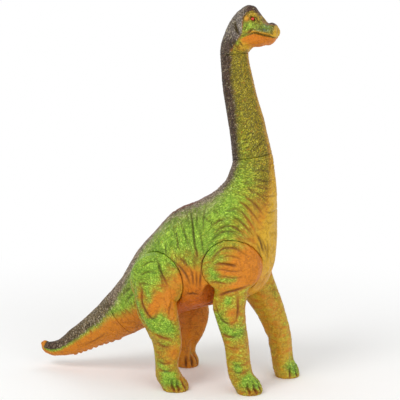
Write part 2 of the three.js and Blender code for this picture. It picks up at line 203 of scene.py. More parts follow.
def seenDirectly(tree):
    path = addNode(tree, "ShaderNodeLightPath")
    direct = maths(tree, "MAXIMUM", path.outputs["Is Camera Ray"], path.outputs["Is Glossy Ray"])
    return maths(tree, "MAXIMUM", direct, path.outputs["Is Transmission Ray"])


def addSky(s):
    world = bpy.data.worlds.new("studioSky")
    scene.world = world
    world.use_nodes = True
    tree = world.node_tree
    tree.nodes.clear()
    strength = ramp(tree, seenDirectly(tree), 0.0, 1.0, s["skyStrength"], 1.0)
    sky = addNode(tree, "ShaderNodeBackground", {"Color": s["white"], "Strength": strength})
    addNode(tree, "ShaderNodeOutputWorld", {"Surface": sky.outputs[0]})


def addPaper(s):
    # the paper keeps the figure's shadow close by and fades to plain white further out
    bpy.ops.mesh.primitive_plane_add(size=s["paperSpan"])
    floor = bpy.context.object
    floor.name = "studioFloor"
    finish = {"Base Color": paint(s["paperColour"]), "Roughness": 0.95, "Specular IOR Level": 0.1}
    material, tree, paper = newMaterial("floorPaper", finish)
    away = addNode(tree, "ShaderNodeVectorMath", {0: objectPlace(tree)}, operation="LENGTH").outputs["Value"]
    fade = ramp(tree, away, s["paperNear"], s["paperFar"])
    white = addNode(tree, "ShaderNodeEmission", {"Color": s["white"], "Strength": 1.0})
    share = times(tree, fade, seenDirectly(tree))
    both = addNode(tree, "ShaderNodeMixShader", {0: share, 1: paper.outputs[0], 2: white.outputs[0]})
    tree.links.new(both.outputs[0], tree.nodes["Material Output"].inputs["Surface"])
    floor.data.materials.append(material)


def addStudio(s):
    addCamera(s)
    for name in ("keySoftbox", "fillSoftbox", "rimSoftbox"):
        addSoftbox(name, s)
    addSky(s)
    addPaper(s)
    print("studio set")


def smoothStep(value, low, high):
    t = np.clip((value - low) / (high - low), 0, 1)
    return t * t * (3 - 2 * t)


def smoothPath(path, steps=6):
    # a smooth curve through the given points
    p = np.array(path, float)
    ends = np.vstack([2 * p[0] - p[1], p, 2 * p[-1] - p[-2]])
    out = []
    for i in range(len(p) - 1):
        a, b, c, d = ends[i:i + 4]
        for t in np.arange(steps) / steps:
            out.append(b + 0.5 * t * (c - a + t * (2 * a - 5 * b + 4 * c - d + t * (3 * (b - c) + d - a))))
    out.append(p[-1])
    return np.array(out)


def pathDistance(points, path):
    # distance to the path and share of the way along it
    best = np.full(len(points), np.inf)
    share = np.zeros(len(points))
    for i in range(len(path) - 1):
        start, along = path[i], path[i + 1] - path[i]
        t = np.clip((points - start) @ along / max(along @ along, 1e-9), 0, 1)
        distance = np.linalg.norm(points - start - t[:, None] * along, axis=1)
        near = distance < best
        best[near] = distance[near]
        share[near] = (i + t[near]) / (len(path) - 1)
    return best, share


# the body line from the tail tip over the trunk to the snout: x, z and half height in mm
bodyLine = np.array([
    (-141, 23, 3), (-137, 21, 4.5), (-128, 20, 7.5), (-117, 22, 10), (-105, 28, 12.5), (-92, 36, 15),
    (-77, 46, 18), (-61, 56, 22), (-47, 67, 26), (-33, 80, 31), (-14, 99, 41), (7, 115, 46), (31, 131, 53),
    (54, 140, 56), (73, 149, 58), (85, 164, 52), (92, 183, 41), (96, 204, 31), (97, 224, 25),
    (96.5, 244, 21), (90, 274, 19), (84, 300, 17.5), (80, 320, 16.5), (77.5, 337, 15), (77, 350, 15),
    (78, 356, 16), (83, 365, 19), (90, 371, 23), (98, 377, 24), (106, 378, 21), (112, 374, 14),
    (115, 372.5, 10), (120, 373, 7.5), (123, 373, 4),
], float)


def bodyPlace(points, line):
    # for points in mm: row along the line and angle round from the spine
    flat = points[:, [0, 2]]
    best = np.full(len(points), np.inf)
    row = np.zeros(len(points))
    rise = np.zeros(len(points))
    for i in range(len(line) - 1):
        start, end = line[i, :2], line[i + 1, :2]
        along = end - start
        t = np.clip((flat - start) @ along / (along @ along), 0, 1)
        gap = flat - start - t[:, None] * along
        distance = np.hypot(gap[:, 0], gap[:, 1])
        dorsal = np.array([-along[1], along[0]]) / np.hypot(*along)
        near = distance < best
        best[near] = distance[near]
        row[near] = i + t[near]
        rise[near] = (gap @ dorsal)[near]
    return row, np.degrees(np.arctan2(np.abs(points[:, 1]), rise))


# the skin's strokes bend in arcs over the shoulders and hips; mm, and the bend by height in 1/mm
strokeArcs = {
    "shoulder": 80,
    "hip": 2,
    "bend": [(105, 0.0), (140, 0.008), (165, 0.028), (200, 0.028)],
    "trunkMiddle": 82,
    "trunkReach": (24, 38),
    "trunkFoot": (112, 124),
    "trunkTop": (192, 212),
}


def lineAt(line, value):
    # reads a line of (value, result) points
    return np.interp(value, *zip(*line))


def flowPlaces(name, points):
    # two runs for the skin's strokes to follow, in mm: round the body, and in arcs over a shoulder or hip
    a = strokeArcs
    x, y, z = points.T
    limb = x - (a["shoulder"] if "Foreleg" in name or name == "torso" else a["hip"])
    arcs = np.stack([z + lineAt(a["bend"], z) * limb ** 2, x, y], axis=1)
    if "leg" in name:
        return arcs, arcs, np.ones(len(points))
    if name == "head":
        return points, points, np.zeros(len(points))
    line = smoothPath(bodyLine, 4)
    row, angle = bodyPlace(points, line)
    rows = np.arange(len(line))
    steps = np.linalg.norm(np.diff(line[:, :2], axis=0), axis=1)
    along = np.interp(row, rows, np.concatenate([[0], np.cumsum(steps)]))
    around = np.radians(angle) * np.interp(row, rows, line[:, 2])
    share = 1 - smoothStep(np.abs(x - a["trunkMiddle"]), *a["trunkReach"])
    share = share * smoothStep(z, *a["trunkFoot"]) * (1 - smoothStep(z, *a["trunkTop"]))
    return np.stack([along, around, y], axis=1), arcs, share if name == "torso" else 0 * x


# the skin of each moulded piece is grown from its casting: voxels in mm, rounds of smoothing and the share
# of faces kept
castings = {
    "torso": {"node": "torso_shell", "body": "torso", "slot": "vinyl_green", "voxel": 0.8, "smooth": 80,
              "keep": 0.63},
    "neck": {"node": "neck_shell", "body": "neck", "slot": "vinyl_olive", "voxel": 0.44, "smooth": 120},
    "head": {"node": "head_shell", "body": "head", "slot": "vinyl_olive", "voxel": 0.33, "smooth": 55},
    "tail": {"node": "tail_shell", "body": "tail", "slot": "vinyl_orange", "voxel": 0.44, "smooth": 95},
}
for limb in ("foreleg", "hindleg"):
    for side in ("right", "left"):
        body = side + "_" + limb
        castings[side + limb.capitalize()] = {"node": body + "_shell", "body": body, "slot": "vinyl_orange",
                                              "voxel": 0.52, "smooth": 90}

jointSizes = {
    "skinWall": 2.4,
    "turnGap": 0.4,
    "lidSpare": 0.5,
    "smallHole": 5.8,
    "largeHole": 9.3,
    "ringSpare": 3.3,
}

# the round faces that castings turn on: radius in mm and the hole through them
roundFaces = {
    "neck": (21.0, "largeHole"), "head": (14.8, "smallHole"), "tail": (26.0, "largeHole"),
    "foreleg": (29.0, "largeHole"), "hindleg": (30.0, "largeHole"),
}


def readSeams(joints):
    # from the frame: each seam's place in mm, direction into the piece that carries it, radius and hole, and
    # each leg's swing
    seams = {}
    swings = {}
    for joint in joints:
        side, _, limb = joint["child"].rpartition("_")
        name = side + limb.capitalize() if side else limb
        place = np.array(joint["pos_m"]) / mm
        into = -np.array(joint["axis"]) * (np.sign(place[1]) if side else 1)
        radius, hole = roundFaces[limb]
        seams[name] = {"place": place, "into": into, "radius": radius, "hole": jointSizes[hole]}
        if side:
            swings[name] = joint["range_deg"]
    return seams, swings


seams, swings = readSeams(frame["joints"])


def holdsJoint(name, joint):
    # whether the casting has the hole that the joint's plug turns in
    return (name == "torso" and joint != "head") or (name == "neck" and joint == "head")


def seamPlace(points, seam):
    # how far points lie along a seam's axis and out from it
    rel = points - seam["place"]
    along = rel @ seam["into"]
    return along, np.linalg.norm(rel - along[:, None] * seam["into"], axis=1)


# the eyes' places in the head, mm, and the pockets behind them
eyePlaces = {"rightEye": (98.84, -11.9, 386.0), "leftEye": (98.84, 11.9, 386.0)}
eyeLift = math.radians(25.0)
eyePocket = {"sink": 2.3, "radius": 4.2, "depth": 2.6}


def eyeDirection(place):
    return Vector((0, math.copysign(math.cos(eyeLift), place[1]), math.sin(eyeLift)))


def holeLids(name):
    # short plugs of skin that close a casting's joint holes, so that only its outside is left to shape
    j = jointSizes
    lids = []
    for joint, seam in seams.items():
        place, into = Vector(seam["place"]), Vector(seam["into"])
        if joint == name:
            centre = place - into * j["skinWall"] / 2
            lids.append((centre, into, seam["hole"] + j["lidSpare"], j["skinWall"]))
        elif holdsJoint(name, joint):
            centre = place + into * (j["turnGap"] + j["skinWall"] / 2)
            lids.append((centre, into, seam["hole"] + j["ringSpare"] + j["lidSpare"], j["skinWall"]))
    if name == "head":
        for place in eyePlaces.values():
            out = eyeDirection(place)
            centre = Vector(place) - out * eyePocket["sink"]
            lids.append((centre, out, eyePocket["radius"], eyePocket["depth"]))
    return lids


def readArray(items, key, width, kind=np.float32):
    values = np.empty(len(items) * width, kind)
    items.foreach_get(key, values)
    return values.reshape(-1, width) if width > 1 else values


def readPoints(mesh):
    return readArray(mesh.vertices, "co", 3).astype(float) * 1000


def readEdges(mesh):
    return readArray(mesh.edges, "vertices", 2, np.int32)


def readNormals(mesh):
    return readArray(mesh.vertex_normals, "vector", 3).astype(float)


def writePoints(mesh, points):
    mesh.vertices.foreach_set("co", (points * mm).astype(np.float32).ravel())
    mesh.update()


def storeValues(mesh, label, values):
    attribute = mesh.attributes.new(label, "FLOAT", "POINT")
    attribute.data.foreach_set("value", np.asarray(values, np.float32))


def bakedMesh(obj):
    # the evaluated object as a plain mesh
    bpy.context.view_layer.update()
    shown = obj.evaluated_get(bpy.context.evaluated_depsgraph_get())
    return bpy.data.meshes.new_from_object(shown)


def outerSkin(mesh, name):
    # keeps the outermost of the closed surfaces
    points = readPoints(mesh)
    starts, ends = readEdges(mesh).T
    label = np.arange(len(points))
    while True:
        low = np.minimum(label[starts], label[ends])
        fresh = label.copy()
        for places in (label[starts], label[ends], starts, ends):
            np.minimum.at(fresh, places, low)
        fresh = fresh[fresh]
        if np.array_equal(fresh, label):
            break
        label = fresh
    spans = {k: np.prod(np.ptp(points[label == k], axis=0)) for k in np.unique(label)}
    keep = label == max(spans, key=spans.get)
    renumber = np.cumsum(keep) - 1
    corners = readArray(mesh.loops, "vertex_index", 1, np.int32)
    firsts = readArray(mesh.polygons, "loop_start", 1, np.int32)
    counts = readArray(mesh.polygons, "loop_total", 1, np.int32)
    faces = [tuple(renumber[corners[s:s + c]]) for s, c in zip(firsts, counts) if keep[corners[s]]]
    out = bpy.data.meshes.new(name)
    out.from_pydata(points[keep] * mm, [], faces)
    out.update()
    out.polygons.foreach_set("use_smooth", [True] * len(out.polygons))
    bpy.data.meshes.remove(mesh)
    return out


def voxelSkin(name, size):
    bm = bmesh.new()
    bm.from_mesh(frame["nodes"][castings[name]["node"]].data)
    bmesh.ops.remove_doubles(bm, verts=bm.verts, dist=1e-6)
    for centre, axis, radius, depth in holeLids(name):
        turn = axis.to_track_quat("Z", "Y").to_matrix().to_4x4()
        bmesh.ops.create_cone(bm, cap_ends=True, segments=40, radius1=radius * mm, radius2=radius * mm,
                              depth=depth * mm, matrix=Matrix.Translation(centre * mm) @ turn)
    mesh = bpy.data.meshes.new(name + "Skin")
    bm.to_mesh(mesh)
    bm.free()
    obj = addObject(name + "Skin", mesh)
    remesh = obj.modifiers.new("voxels", "REMESH")
    remesh.mode = "VOXEL"
    remesh.voxel_size = size * mm
    remesh.adaptivity = 0
    grown = bakedMesh(obj)
    obj.modifiers.clear()
    obj.data = outerSkin(grown, name + "Skin")
    return obj


def relax(mesh, rounds, hold):
    # evens out the facets; hold is 1 where a point stays
    points = readPoints(mesh)
    starts, ends = readEdges(mesh).T
    count = len(points)
    degree = np.bincount(np.concatenate([starts, ends]), minlength=count)[:, None]
    free = 0.5 * (1 - hold)[:, None]
    for _ in range(rounds):
        total = np.stack([
            np.bincount(starts, points[ends, k], count) + np.bincount(ends, points[starts, k], count)
            for k in range(3)
        ], axis=1)
        points += free * (total / degree - points)
    writePoints(mesh, points)


# mm over which sculpting fades in: off a piece's own face, behind the face that it turns on, in from a leg
# drum's edge, out from the pocket of a leg and down into it, and up from the sole
sculptFades = {
    "ownFace": (0.4, 2.4), "heldFace": (0.8, 2.8), "drumEdge": (3.2, 1.2), "pocketEdge": (0.8, 3.6),
    "pocketFloor": (-4.5, -1.5), "sole": (0.3, 2.5),
}
cutFades = {
    "ownFace": (0.2, 1.4), "heldFace": (0.6, 1.8), "pocketEdge": (0.3, 1.2), "pocketFloor": (-4.5, -1.5),
}
# a leg's drum fades into the leg between these shares of its radius below the axis
drumShares = (0.75, 0.35)


def pocketShare(along, beyond, fades):
    # 1 outside the pocket that a leg's drum turns in
    return 1 - (1 - smoothStep(beyond, *fades["pocketEdge"])) * smoothStep(-along, *fades["pocketFloor"])


def freeShare(name, points):
    # 1 where the skin may be shaped, falling to 0 in pockets, on seams and on rims that turn
    share = np.ones(len(points))
    for joint, seam in seams.items():
        along, out = seamPlace(points, seam)
        radius = seam["radius"]
        if joint == name:
            share *= smoothStep(-along, *sculptFades["ownFace"])
            if "leg" in joint:
                rise = points[:, 2] - seam["place"][2]
                inDrum = smoothStep(rise, *(-radius * part for part in drumShares))
                share *= 1 - inDrum * smoothStep(out, *(radius - gap for gap in sculptFades["drumEdge"]))
        elif name == "torso" and "leg" in joint:
            share *= pocketShare(along, np.maximum(out - radius, 0), sculptFades)
        elif holdsJoint(name, joint):
            share *= smoothStep(along, *sculptFades["heldFace"])
    if "leg" in name:
        share *= smoothStep(points[:, 2], *sculptFades["sole"])
    return share


def cutShare(name, points):
    # 1 where relief may be cut into the skin: also on the rims that turn, but not in pockets
    share = np.ones(len(points))
    for joint, seam in seams.items():
        along, out = seamPlace(points, seam)
        if joint == name:
            share *= smoothStep(-along, *cutFades["ownFace"])
        elif name == "torso" and "leg" in joint:
            share *= pocketShare(along, out - seam["radius"], cutFades)
        elif holdsJoint(name, joint):
            share *= smoothStep(along, *cutFades["heldFace"])
    return share


# sculpted forms as (lift, width, points) in mm on the right side: a lift below 0 cuts a fold, above 0 raises
# a ridge; paired forms are repeated on the left
torsoForms = {
    "paired": [
        # long folds down the flank
        (-1.7, 1.1, [(33, -12, 190), (40, -31, 177), (45, -40, 161), (49, -45, 149), (51, -48, 141)]),
        (-1.2, 1.0, [(20, -28, 171), (25, -36, 162), (28, -41, 153), (30, -44, 149)]),
        (-1.0, 0.9, [(25, -24, 178), (31, -33, 170), (34, -37, 163)]),
        (-1.0, 1.0, [(13, -36, 154), (14, -40, 146), (16, -44, 139)]),
        (-1.0, 0.9, [(53, -23, 192), (52, -29, 185), (54, -38, 170)]),
        (-1.2, 1.0, [(60, -43, 158), (62, -47, 149), (61, -49, 139), (58, -49, 128)]),
        (-0.8, 0.9, [(41, -20, 189), (45, -30, 179), (49, -38, 168)]),
        (-0.7, 0.9, [(60, -30, 180), (66, -35, 173)]),
        (-0.9, 0.9, [(23, -33, 166), (27, -39, 158), (29, -42, 152)]),
        (-0.9, 0.9, [(27, -27, 175), (32, -34, 168), (37, -40, 159), (42, -44, 152)]),
        (-1.0, 0.9, [(49, -34, 175), (52, -40, 164), (55, -44, 155), (58, -47, 145)]),
        (-0.7, 0.9, [(30, -18, 184), (35, -28, 178), (39, -34, 171)]),
        (-0.8, 0.9, [(49, -27, 185), (58, -34, 180), (66, -37, 179)]),
        (-0.7, 0.9, [(18, -24, 172), (21, -31, 166), (24, -37, 159)]),
        (0.5, 2.2, [(36, -18, 187), (43, -34, 172), (48, -43, 155)]),
        # creases that gather on the belly
        (-1.3, 1.1, [(18, -48, 136), (21, -50, 130), (27, -50, 121), (34, -45, 109)]),
        (-1.2, 1.0, [(22, -49, 132), (29, -49, 122), (35, -46, 112)]),
        (-1.3, 1.1, [(22, -44, 140), (34, -48, 131), (40, -48, 122), (43, -47, 114)]),
        (-1.1, 1.0, [(43, -48, 133), (46, -48, 122), (46, -46, 113)]),
        (-1.2, 1.1, [(57, -50, 135), (54, -48, 122), (53, -44, 110)]),
        (-1.0, 0.9, [(50, -48, 130), (50, -48, 120), (49, -45, 111)]),
        (-0.9, 0.9, [(29, -47, 143), (36, -48, 138), (42, -48, 132)]),
        (-1.2, 1.3, [(36, -41, 102), (44, -42, 103), (52, -40, 101)]),
        (0.6, 2.0, [(38, -48, 130), (43, -48, 119), (44, -46, 110)]),
        # rings of wrinkles over the shoulder
        (-1.1, 1.0, [(65, -42, 163), (71, -40, 172), (79, -39, 176), (87, -38, 175), (94, -37, 170),
                     (100, -35, 163)]),
        (0.7, 1.3, [(66, -41, 167), (74, -39, 177), (84, -38, 178.5), (94, -35, 174), (102, -33, 165)]),
        (-1.0, 1.0, [(64, -43, 157), (67, -42, 164), (74, -41, 169.5), (82, -41, 171.5), (89, -39, 169),
                     (96, -37, 163.5)]),
        (-1.0, 1.0, [(59, -39, 169), (66, -38, 178), (74, -37, 183), (83, -36, 185)]),
        (-1.1, 1.0, [(84, -36, 186), (91, -36, 183), (98, -35, 176), (104, -32, 168)]),
        (0.6, 1.4, [(88, -35, 188), (95, -34, 182), (102, -32, 174), (107, -30, 166)]),
        (-1.0, 1.0, [(86, -34, 194), (93, -33, 191), (101, -32, 182), (107, -30, 173)]),
        (-1.0, 1.0, [(90, -31, 201), (97, -31, 197), (105, -29, 188), (111, -26, 179)]),
        (-0.9, 1.0, [(76, -33, 190), (83, -33, 192), (89, -32, 195)]),
        (-0.9, 1.0, [(94, -29, 207), (102, -28, 202), (109, -25, 194), (114, -21, 186)]),
        (-0.8, 1.0, [(104, -26, 212), (112, -20, 204), (117, -14, 198)]),
        (-0.7, 0.9, [(98, -27, 216), (104, -25, 209)]),
        (-0.7, 0.9, [(70, -34, 187), (66, -32, 189), (60, -28, 190)]),
        # rings round the root of the neck
        (-0.7, 0.9, [(104, -24, 225), (108, -22, 223), (115, -16, 220), (119, -9, 220), (120, -3, 221)]),
        (-0.7, 0.9, [(106, -24, 217), (114, -19, 213), (120, -9, 213)]),
        (-0.7, 0.9, [(109, -24, 208), (116, -18, 205), (121, -9, 204), (122, -2, 204)]),
        (-0.7, 0.9, [(113, -22, 199), (117, -18, 196), (122, -8, 196)]),
        (-0.7, 0.9, [(115, -21, 191), (118, -17, 188), (122, -8, 188), (123, -2, 188)]),
        (-0.6, 0.9, [(116, -20, 181), (119, -16, 177), (122, -8, 177)]),
        (-0.8, 1.0, [(106, -20, 233), (112, -15, 231), (117, -8, 231)]),
        # chest
        (-1.4, 1.3, [(110, -30, 167), (112, -26, 161), (114, -24, 153), (115, -21, 146)]),
        (-0.9, 1.0, [(113, -25, 163), (116, -21, 153), (118, -16, 141)]),
        (-0.8, 1.0, [(117, -19, 160), (118, -17, 149), (117, -16, 136)]),
        (-0.9, 1.0, [(109, -29, 158), (112, -27, 149), (113, -27, 139)]),
        (0.8, 4.0, [(117, -20, 170), (119, -17, 158), (120, -14, 146)]),
        # underside and hips
        (-1.1, 1.5, [(36, -20, 83), (46, -20, 86), (56, -20, 90), (64, -18, 95)]),
        (-0.9, 1.4, [(-20, -30, 100), (-28, -26, 92), (-34, -22, 82)]),
        (-0.9, 1.2, [(-24, -34, 108), (-33, -29, 100), (-41, -22, 89)]),
        (1.0, 2.6, [(-29, -28, 110), (-39, -25, 96), (-45, -22, 80)]),
        (-0.8, 1.0, [(-18, -27, 133), (-27, -24, 119), (-35, -20, 106)]),
        (-0.7, 1.0, [(-11, -28, 142), (-6, -31, 146), (0, -34, 149)]),
        (0.7, 1.6, [(-36, -21, 96), (-24, -27, 116), (-10, -31, 137), (4, -33, 155)]),
        (1.0, 5.0, [(40, -33, 84), (50, -33, 88), (58, -32, 93)]),
    ],
    "middle": [
        (0.6, 2.2, [(-40, 0, 96), (-26, 0, 117), (-6, 0, 147), (14, 0, 180), (40, 0, 193), (62, 0, 200),
                    (74, 0, 214), (80, 0, 232)]),
        (0.8, 6.0, [(9, -6, 175), (16, -4, 183), (24, -4, 188)]),
        (-0.7, 5.0, [(40, 0, 194), (52, 0, 198), (60, 0, 201)]),
        (-0.8, 9.0, [(76, 0, 236), (75, 0, 228), (72, 0, 220)]),
        (1.2, 5.0, [(120, 0, 243), (122, 0, 224), (124, 0, 205)]),
        (1.0, 7.0, [(124, 0, 160), (122, 0, 146), (120, 0, 134)]),
    ],
}

neckForms = {
    "paired": [
        (-0.6, 1.0, [(108, -9, 262), (104, -15, 254), (98, -20, 250)]),
        (-0.5, 0.9, [(107, -8, 283), (103, -14, 275)]),
    ],
    "middle": [
        (-0.9, 10.0, [(64, 0, 328), (66, 0, 312), (69, 0, 292), (72, 0, 272), (74, 0, 262)]),
        (0.9, 9.0, [(94, 0, 334), (98, 0, 318), (102, 0, 302), (107, 0, 284)]),
    ],
}

headForms = {
    "paired": [
        (-1.2, 0.75, [(96, -17, 369), (99, -17, 371), (103, -17, 372), (109, -16, 370.5), (115, -13, 369),
                      (120, -9, 367.3), (123.5, -3, 367)]),
        (0.75, 0.9, [(99, -17, 373.5), (104, -17, 374.3), (110, -15, 373), (116, -13, 371.2),
                     (121, -8, 369.6)]),
        (0.8, 0.9, [(99, -17, 368.8), (104, -17, 369.9), (109, -16, 368.4), (115, -13, 366.6),
                    (120, -6, 365)]),
        (-1.1, 0.8, [(93.5, -16, 370.5), (97, -17, 373.4), (100, -16, 376)]),
        (-0.6, 0.8, [(90, -16, 372), (92, -16, 377), (95, -15, 380)]),
        (0.6, 1.0, [(99, -7, 393), (101.5, -8, 390), (104.5, -9, 386)]),
        (-0.7, 0.65, [(100.5, -10, 390), (103, -11, 386.5), (106.5, -13, 380.8)]),
        (-1.0, 3.0, [(99, -13, 358), (104, -11, 358), (110, -8, 359)]),
        (0.9, 0.8, [(95.5, -10, 389.6), (98.4, -10.5, 390), (101.2, -11.6, 387.6), (103.6, -13, 383)]),
        (0.7, 0.9, [(93.5, -11, 387.5), (95.5, -13, 383.8), (99.5, -14, 382.2), (103, -14, 381.8)]),
        (-2.3, 1.4, [(79, -10, 384), (80, -11, 380), (83, -14, 374), (86, -16, 369)]),
        (0.8, 1.5, [(85, -14, 378), (86.5, -16, 373), (88, -17, 369)]),
        (-1.0, 0.7, [(89, -14, 380), (88.5, -11, 386), (90.5, -9.5, 390.5), (95, -7, 393.6)]),
        (-0.7, 1.0, [(85, -17, 363), (88, -16, 360), (90, -13, 356.5)]),
        (-0.6, 0.9, [(80, -16, 362), (83, -16, 358), (85, -14, 354)]),
        (0.8, 3.0, [(96, -14, 381), (98, -15, 377)]),
        (0.6, 3.0, [(104, -17, 366), (109, -15, 364)]),
        (-0.8, 0.9, [(99, -6, 394.2), (100.3, -6, 392.6)]),
        (-0.8, 0.8, [(118.4, -6, 378.6), (120, -7.5, 377.2)]),
        (0.5, 1.2, [(113, -8, 379), (117, -6.5, 380.5), (120, -5, 379.5)]),
    ],
    "middle": [
        (-3.2, 5.5, [(99, 0, 353), (104, 0, 354), (109, 0, 356)]),
        (0.8, 3.0, [(112, 0, 357), (115, 0, 359), (118, 0, 362)]),
        (1.8, 4.5, [(117, 0, 381), (121, 0, 379)]),
        (-2.0, 4.0, [(125, 0, 375), (125, 0, 369)]),
        (1.3, 5.5, [(92, 0, 397), (98, 0, 398)]),
        (-1.3, 2.6, [(107, 0, 387.5), (110, 0, 384), (112, 0, 382)]),
        (-0.8, 9.0, [(66, 0, 372), (72, 0, 384)]),
    ],
}

tailForms = {
    "paired": [(-0.7, 1.1, [(-58, -20, 48), (-72, -16.5, 38), (-88, -13.5, 29)])],
    "middle": [
        (-1.0, 6.0, [(-118, 0, 12), (-100, 0, 17), (-75, 0, 28), (-60, 0, 33), (-45, 0, 41)]),
        (0.8, 7.0, [(-106, 0, 42), (-92, 0, 52), (-77, 0, 64), (-62, 0, 76)]),
        (1.8, 2.8, [(-141, 0, 26.5), (-138, 0, 28)]),
    ],
}

# scallops hang under the tail, one after another along the body line
tailScallops = {
    "count": 9,
    "firstRow": 3.9,
    "rowStep": 0.38,
    "lift": 1.9,
    "fall": 0.06,
    "highest": 3,
    "width": 1.35,
    "widthShare": 0.94,
    "arc": [-34, -17, 0, 17, 34],
}

# both forelegs, and both hind legs, have these
rightForelegForms = [
    (-1.0, 1.0, [(65, -48, 138), (69, -47, 146), (75, -46, 152), (80, -45, 154), (89, -43, 154),
                 (96, -41, 150), (103, -40, 146)]),
    (-1.5, 1.2, [(70, -48, 137), (78, -47, 138), (87, -46, 137), (92, -45, 136)]),
    (-0.8, 0.9, [(68, -48, 131), (78, -49, 132), (90, -48, 131), (98, -46, 132)]),
    (-0.7, 0.9, [(64, -48, 124), (78, -50, 125), (92, -49, 124), (101, -46, 126)]),
    (-0.7, 0.9, [(74, -46, 144), (82, -45, 146), (91, -44, 145), (97, -43, 142)]),
    (-0.9, 1.0, [(63, -48, 116), (72, -49, 118), (82, -50, 118)]),
    (0.8, 1.8, [(70, -49, 110), (80, -50, 113), (90, -49, 117), (99, -46, 119)]),
    (-1.4, 1.2, [(72, -48, 105), (76, -49, 106), (83, -49, 109), (90, -48, 111), (98, -45, 113),
                 (104, -39, 114)]),
    (-1.2, 1.3, [(93, -46, 106), (94, -46, 95), (94, -46, 86), (92, -48, 79)]),
    (-1.0, 1.2, [(68, -44, 99), (72, -47, 86), (78, -48, 78), (86, -49, 75), (92, -48, 79)]),
    (1.0, 3.4, [(89, -49, 99), (89, -49, 92), (87, -49, 84)]),
    (0.9, 2.2, [(98, -41, 104), (99, -40, 90), (99, -39, 76)]),
    (-0.9, 1.3, [(74, -44, 66), (82, -47, 62), (92, -47, 62), (99, -42, 66)]),
    (-0.7, 1.1, [(80, -44, 52), (90, -47, 49), (99, -43, 51)]),
    (-0.8, 1.1, [(84, -45, 34), (92, -48, 31), (100, -46, 32), (106, -38, 34)]),
    (-0.8, 1.1, [(86, -46, 27), (94, -49, 24), (103, -46, 25), (109, -38, 28)]),
    (0.8, 3.0, [(90, -47, 69), (96, -45, 69)]),
]

rightHindlegForms = [
    (-1.3, 1.3, [(-8, -56, 112), (-7, -58, 104), (-6, -58, 93), (-1, -59, 84), (4, -60, 79), (8, -60, 79),
                 (12, -60, 86)]),
    (1.0, 2.2, [(-12, -54, 110), (-11, -56, 98), (-8, -57, 86), (-2, -58, 78), (5, -59, 73), (12, -60, 76)]),
    (-0.9, 1.2, [(-16, -51, 106), (-16, -52, 92), (-10, -54, 80), (-2, -56, 71)]),
    (1.0, 3.2, [(3, -58, 110), (4, -59, 100), (6, -60, 90)]),
    (-0.8, 1.1, [(12, -56, 128), (15, -56, 120), (17, -57, 111)]),
    (1.2, 4.5, [(17, -58, 71), (22, -57, 68)]),
    (-1.1, 1.4, [(8, -58, 62), (16, -59, 58), (26, -55, 57)]),
    (-0.9, 1.2, [(8, -57, 52), (16, -58, 49), (26, -55, 49)]),
    (-0.9, 1.2, [(9, -55, 33), (16, -57, 30), (26, -55, 31)]),
    (-0.8, 1.1, [(10, -55, 25), (18, -57, 22), (29, -55, 24)]),
    (2.2, 7.0, [(1, -46, 54), (2, -46, 42), (5, -46, 28), (9, -46, 12)]),
    (-0.9, 1.0, [(-10, -51, 129), (-1, -50, 136), (7, -50, 136)]),
    (-0.9, 1.0, [(-13, -53, 120), (-2, -54, 126), (8, -55, 127)]),
    (-0.8, 1.0, [(-13, -54, 111), (-5, -57, 115), (3, -58, 114)]),
    (-1.5, 1.2, [(6, -47, 140), (10, -51, 135), (13, -54, 128), (17, -54, 120), (21, -54, 112)]),
    (-0.8, 1.0, [(27, -53, 98), (24, -55, 90), (22, -56, 80)]),
]

# swells and hollows of one leg alone
ownForms = {
    "rightForeleg": [
        (1.8, 6.0, [(66, -42, 97), (71, -43, 83), (77, -43, 66), (81, -42, 46), (85, -44, 26),
                    (89, -44, 12)]),
        (-0.9, 6.0, [(98, -38, 92), (100, -38, 72), (102, -38, 52), (105, -38, 36)]),
    ],
    "leftForeleg": [
        (1.2, 6.0, [(105, 32, 62), (111, 32, 41), (114, 32, 20)]),
        (-0.9, 6.0, [(126, 31, 69), (131, 31, 53), (134, 32, 30)]),
        (1.2, 5.0, [(98, 30, 78), (103, 31, 64), (108, 31, 50)]),
        (1.6, 5.0, [(112, 30, 34), (114, 30, 22), (115, 31, 10)]),
        (-2.4, 4.0, [(137, 32, 24), (141, 32, 16)]),
    ],
    "rightHindleg": [],
    "leftHindleg": [
        (-4.0, 5.5, [(21, 38, 29), (22, 40, 22), (22, 42, 17)]),
        (-1.3, 6.0, [(35, 42, 62), (31, 40, 52), (26, 39, 42)]),
    ],
}

# how far the left foot is ahead of the right one, and how high the joint is that both legs hang from, mm
strides = {"Foreleg": (24.25, 133), "Hindleg": (-14.0, 114)}


def toLeft(limb, spot):
    # a place on a right leg as a place on the left one, which leans on or back; what follows x, y, z is kept
    ahead, height = strides[limb]
    x, y, z = spot[:3]
    return (x + ahead * max(0, 1 - z / height), -y, z) + tuple(spot[3:])


def scallopForms(t):
    forms = []
    rows = range(len(bodyLine))
    for i in range(t["count"]):
        row = t["firstRow"] + i * t["rowStep"]
        x, z, half = [np.interp(row, rows, bodyLine[:, k]) for k in range(3)]
        nextX, nextZ = [np.interp(row + 0.1, rows, bodyLine[:, k]) for k in (0, 1)]
        down = np.array([nextZ - z, x - nextX])
        down = down / np.linalg.norm(down) * half
        arc = [(x + down[0] * math.cos(a), half * t["widthShare"] * math.sin(a), z + down[1] * math.cos(a))
               for a in np.radians(t["arc"])]
        forms.append((t["lift"] - t["fall"] * abs(i - t["highest"]), t["width"], arc))
    return forms


def bothSides(forms):
    mirrored = [(lift, width, [(x, -y, z) for x, y, z in path]) for lift, width, path in forms["paired"]]
    return forms["paired"] + mirrored + forms["middle"]


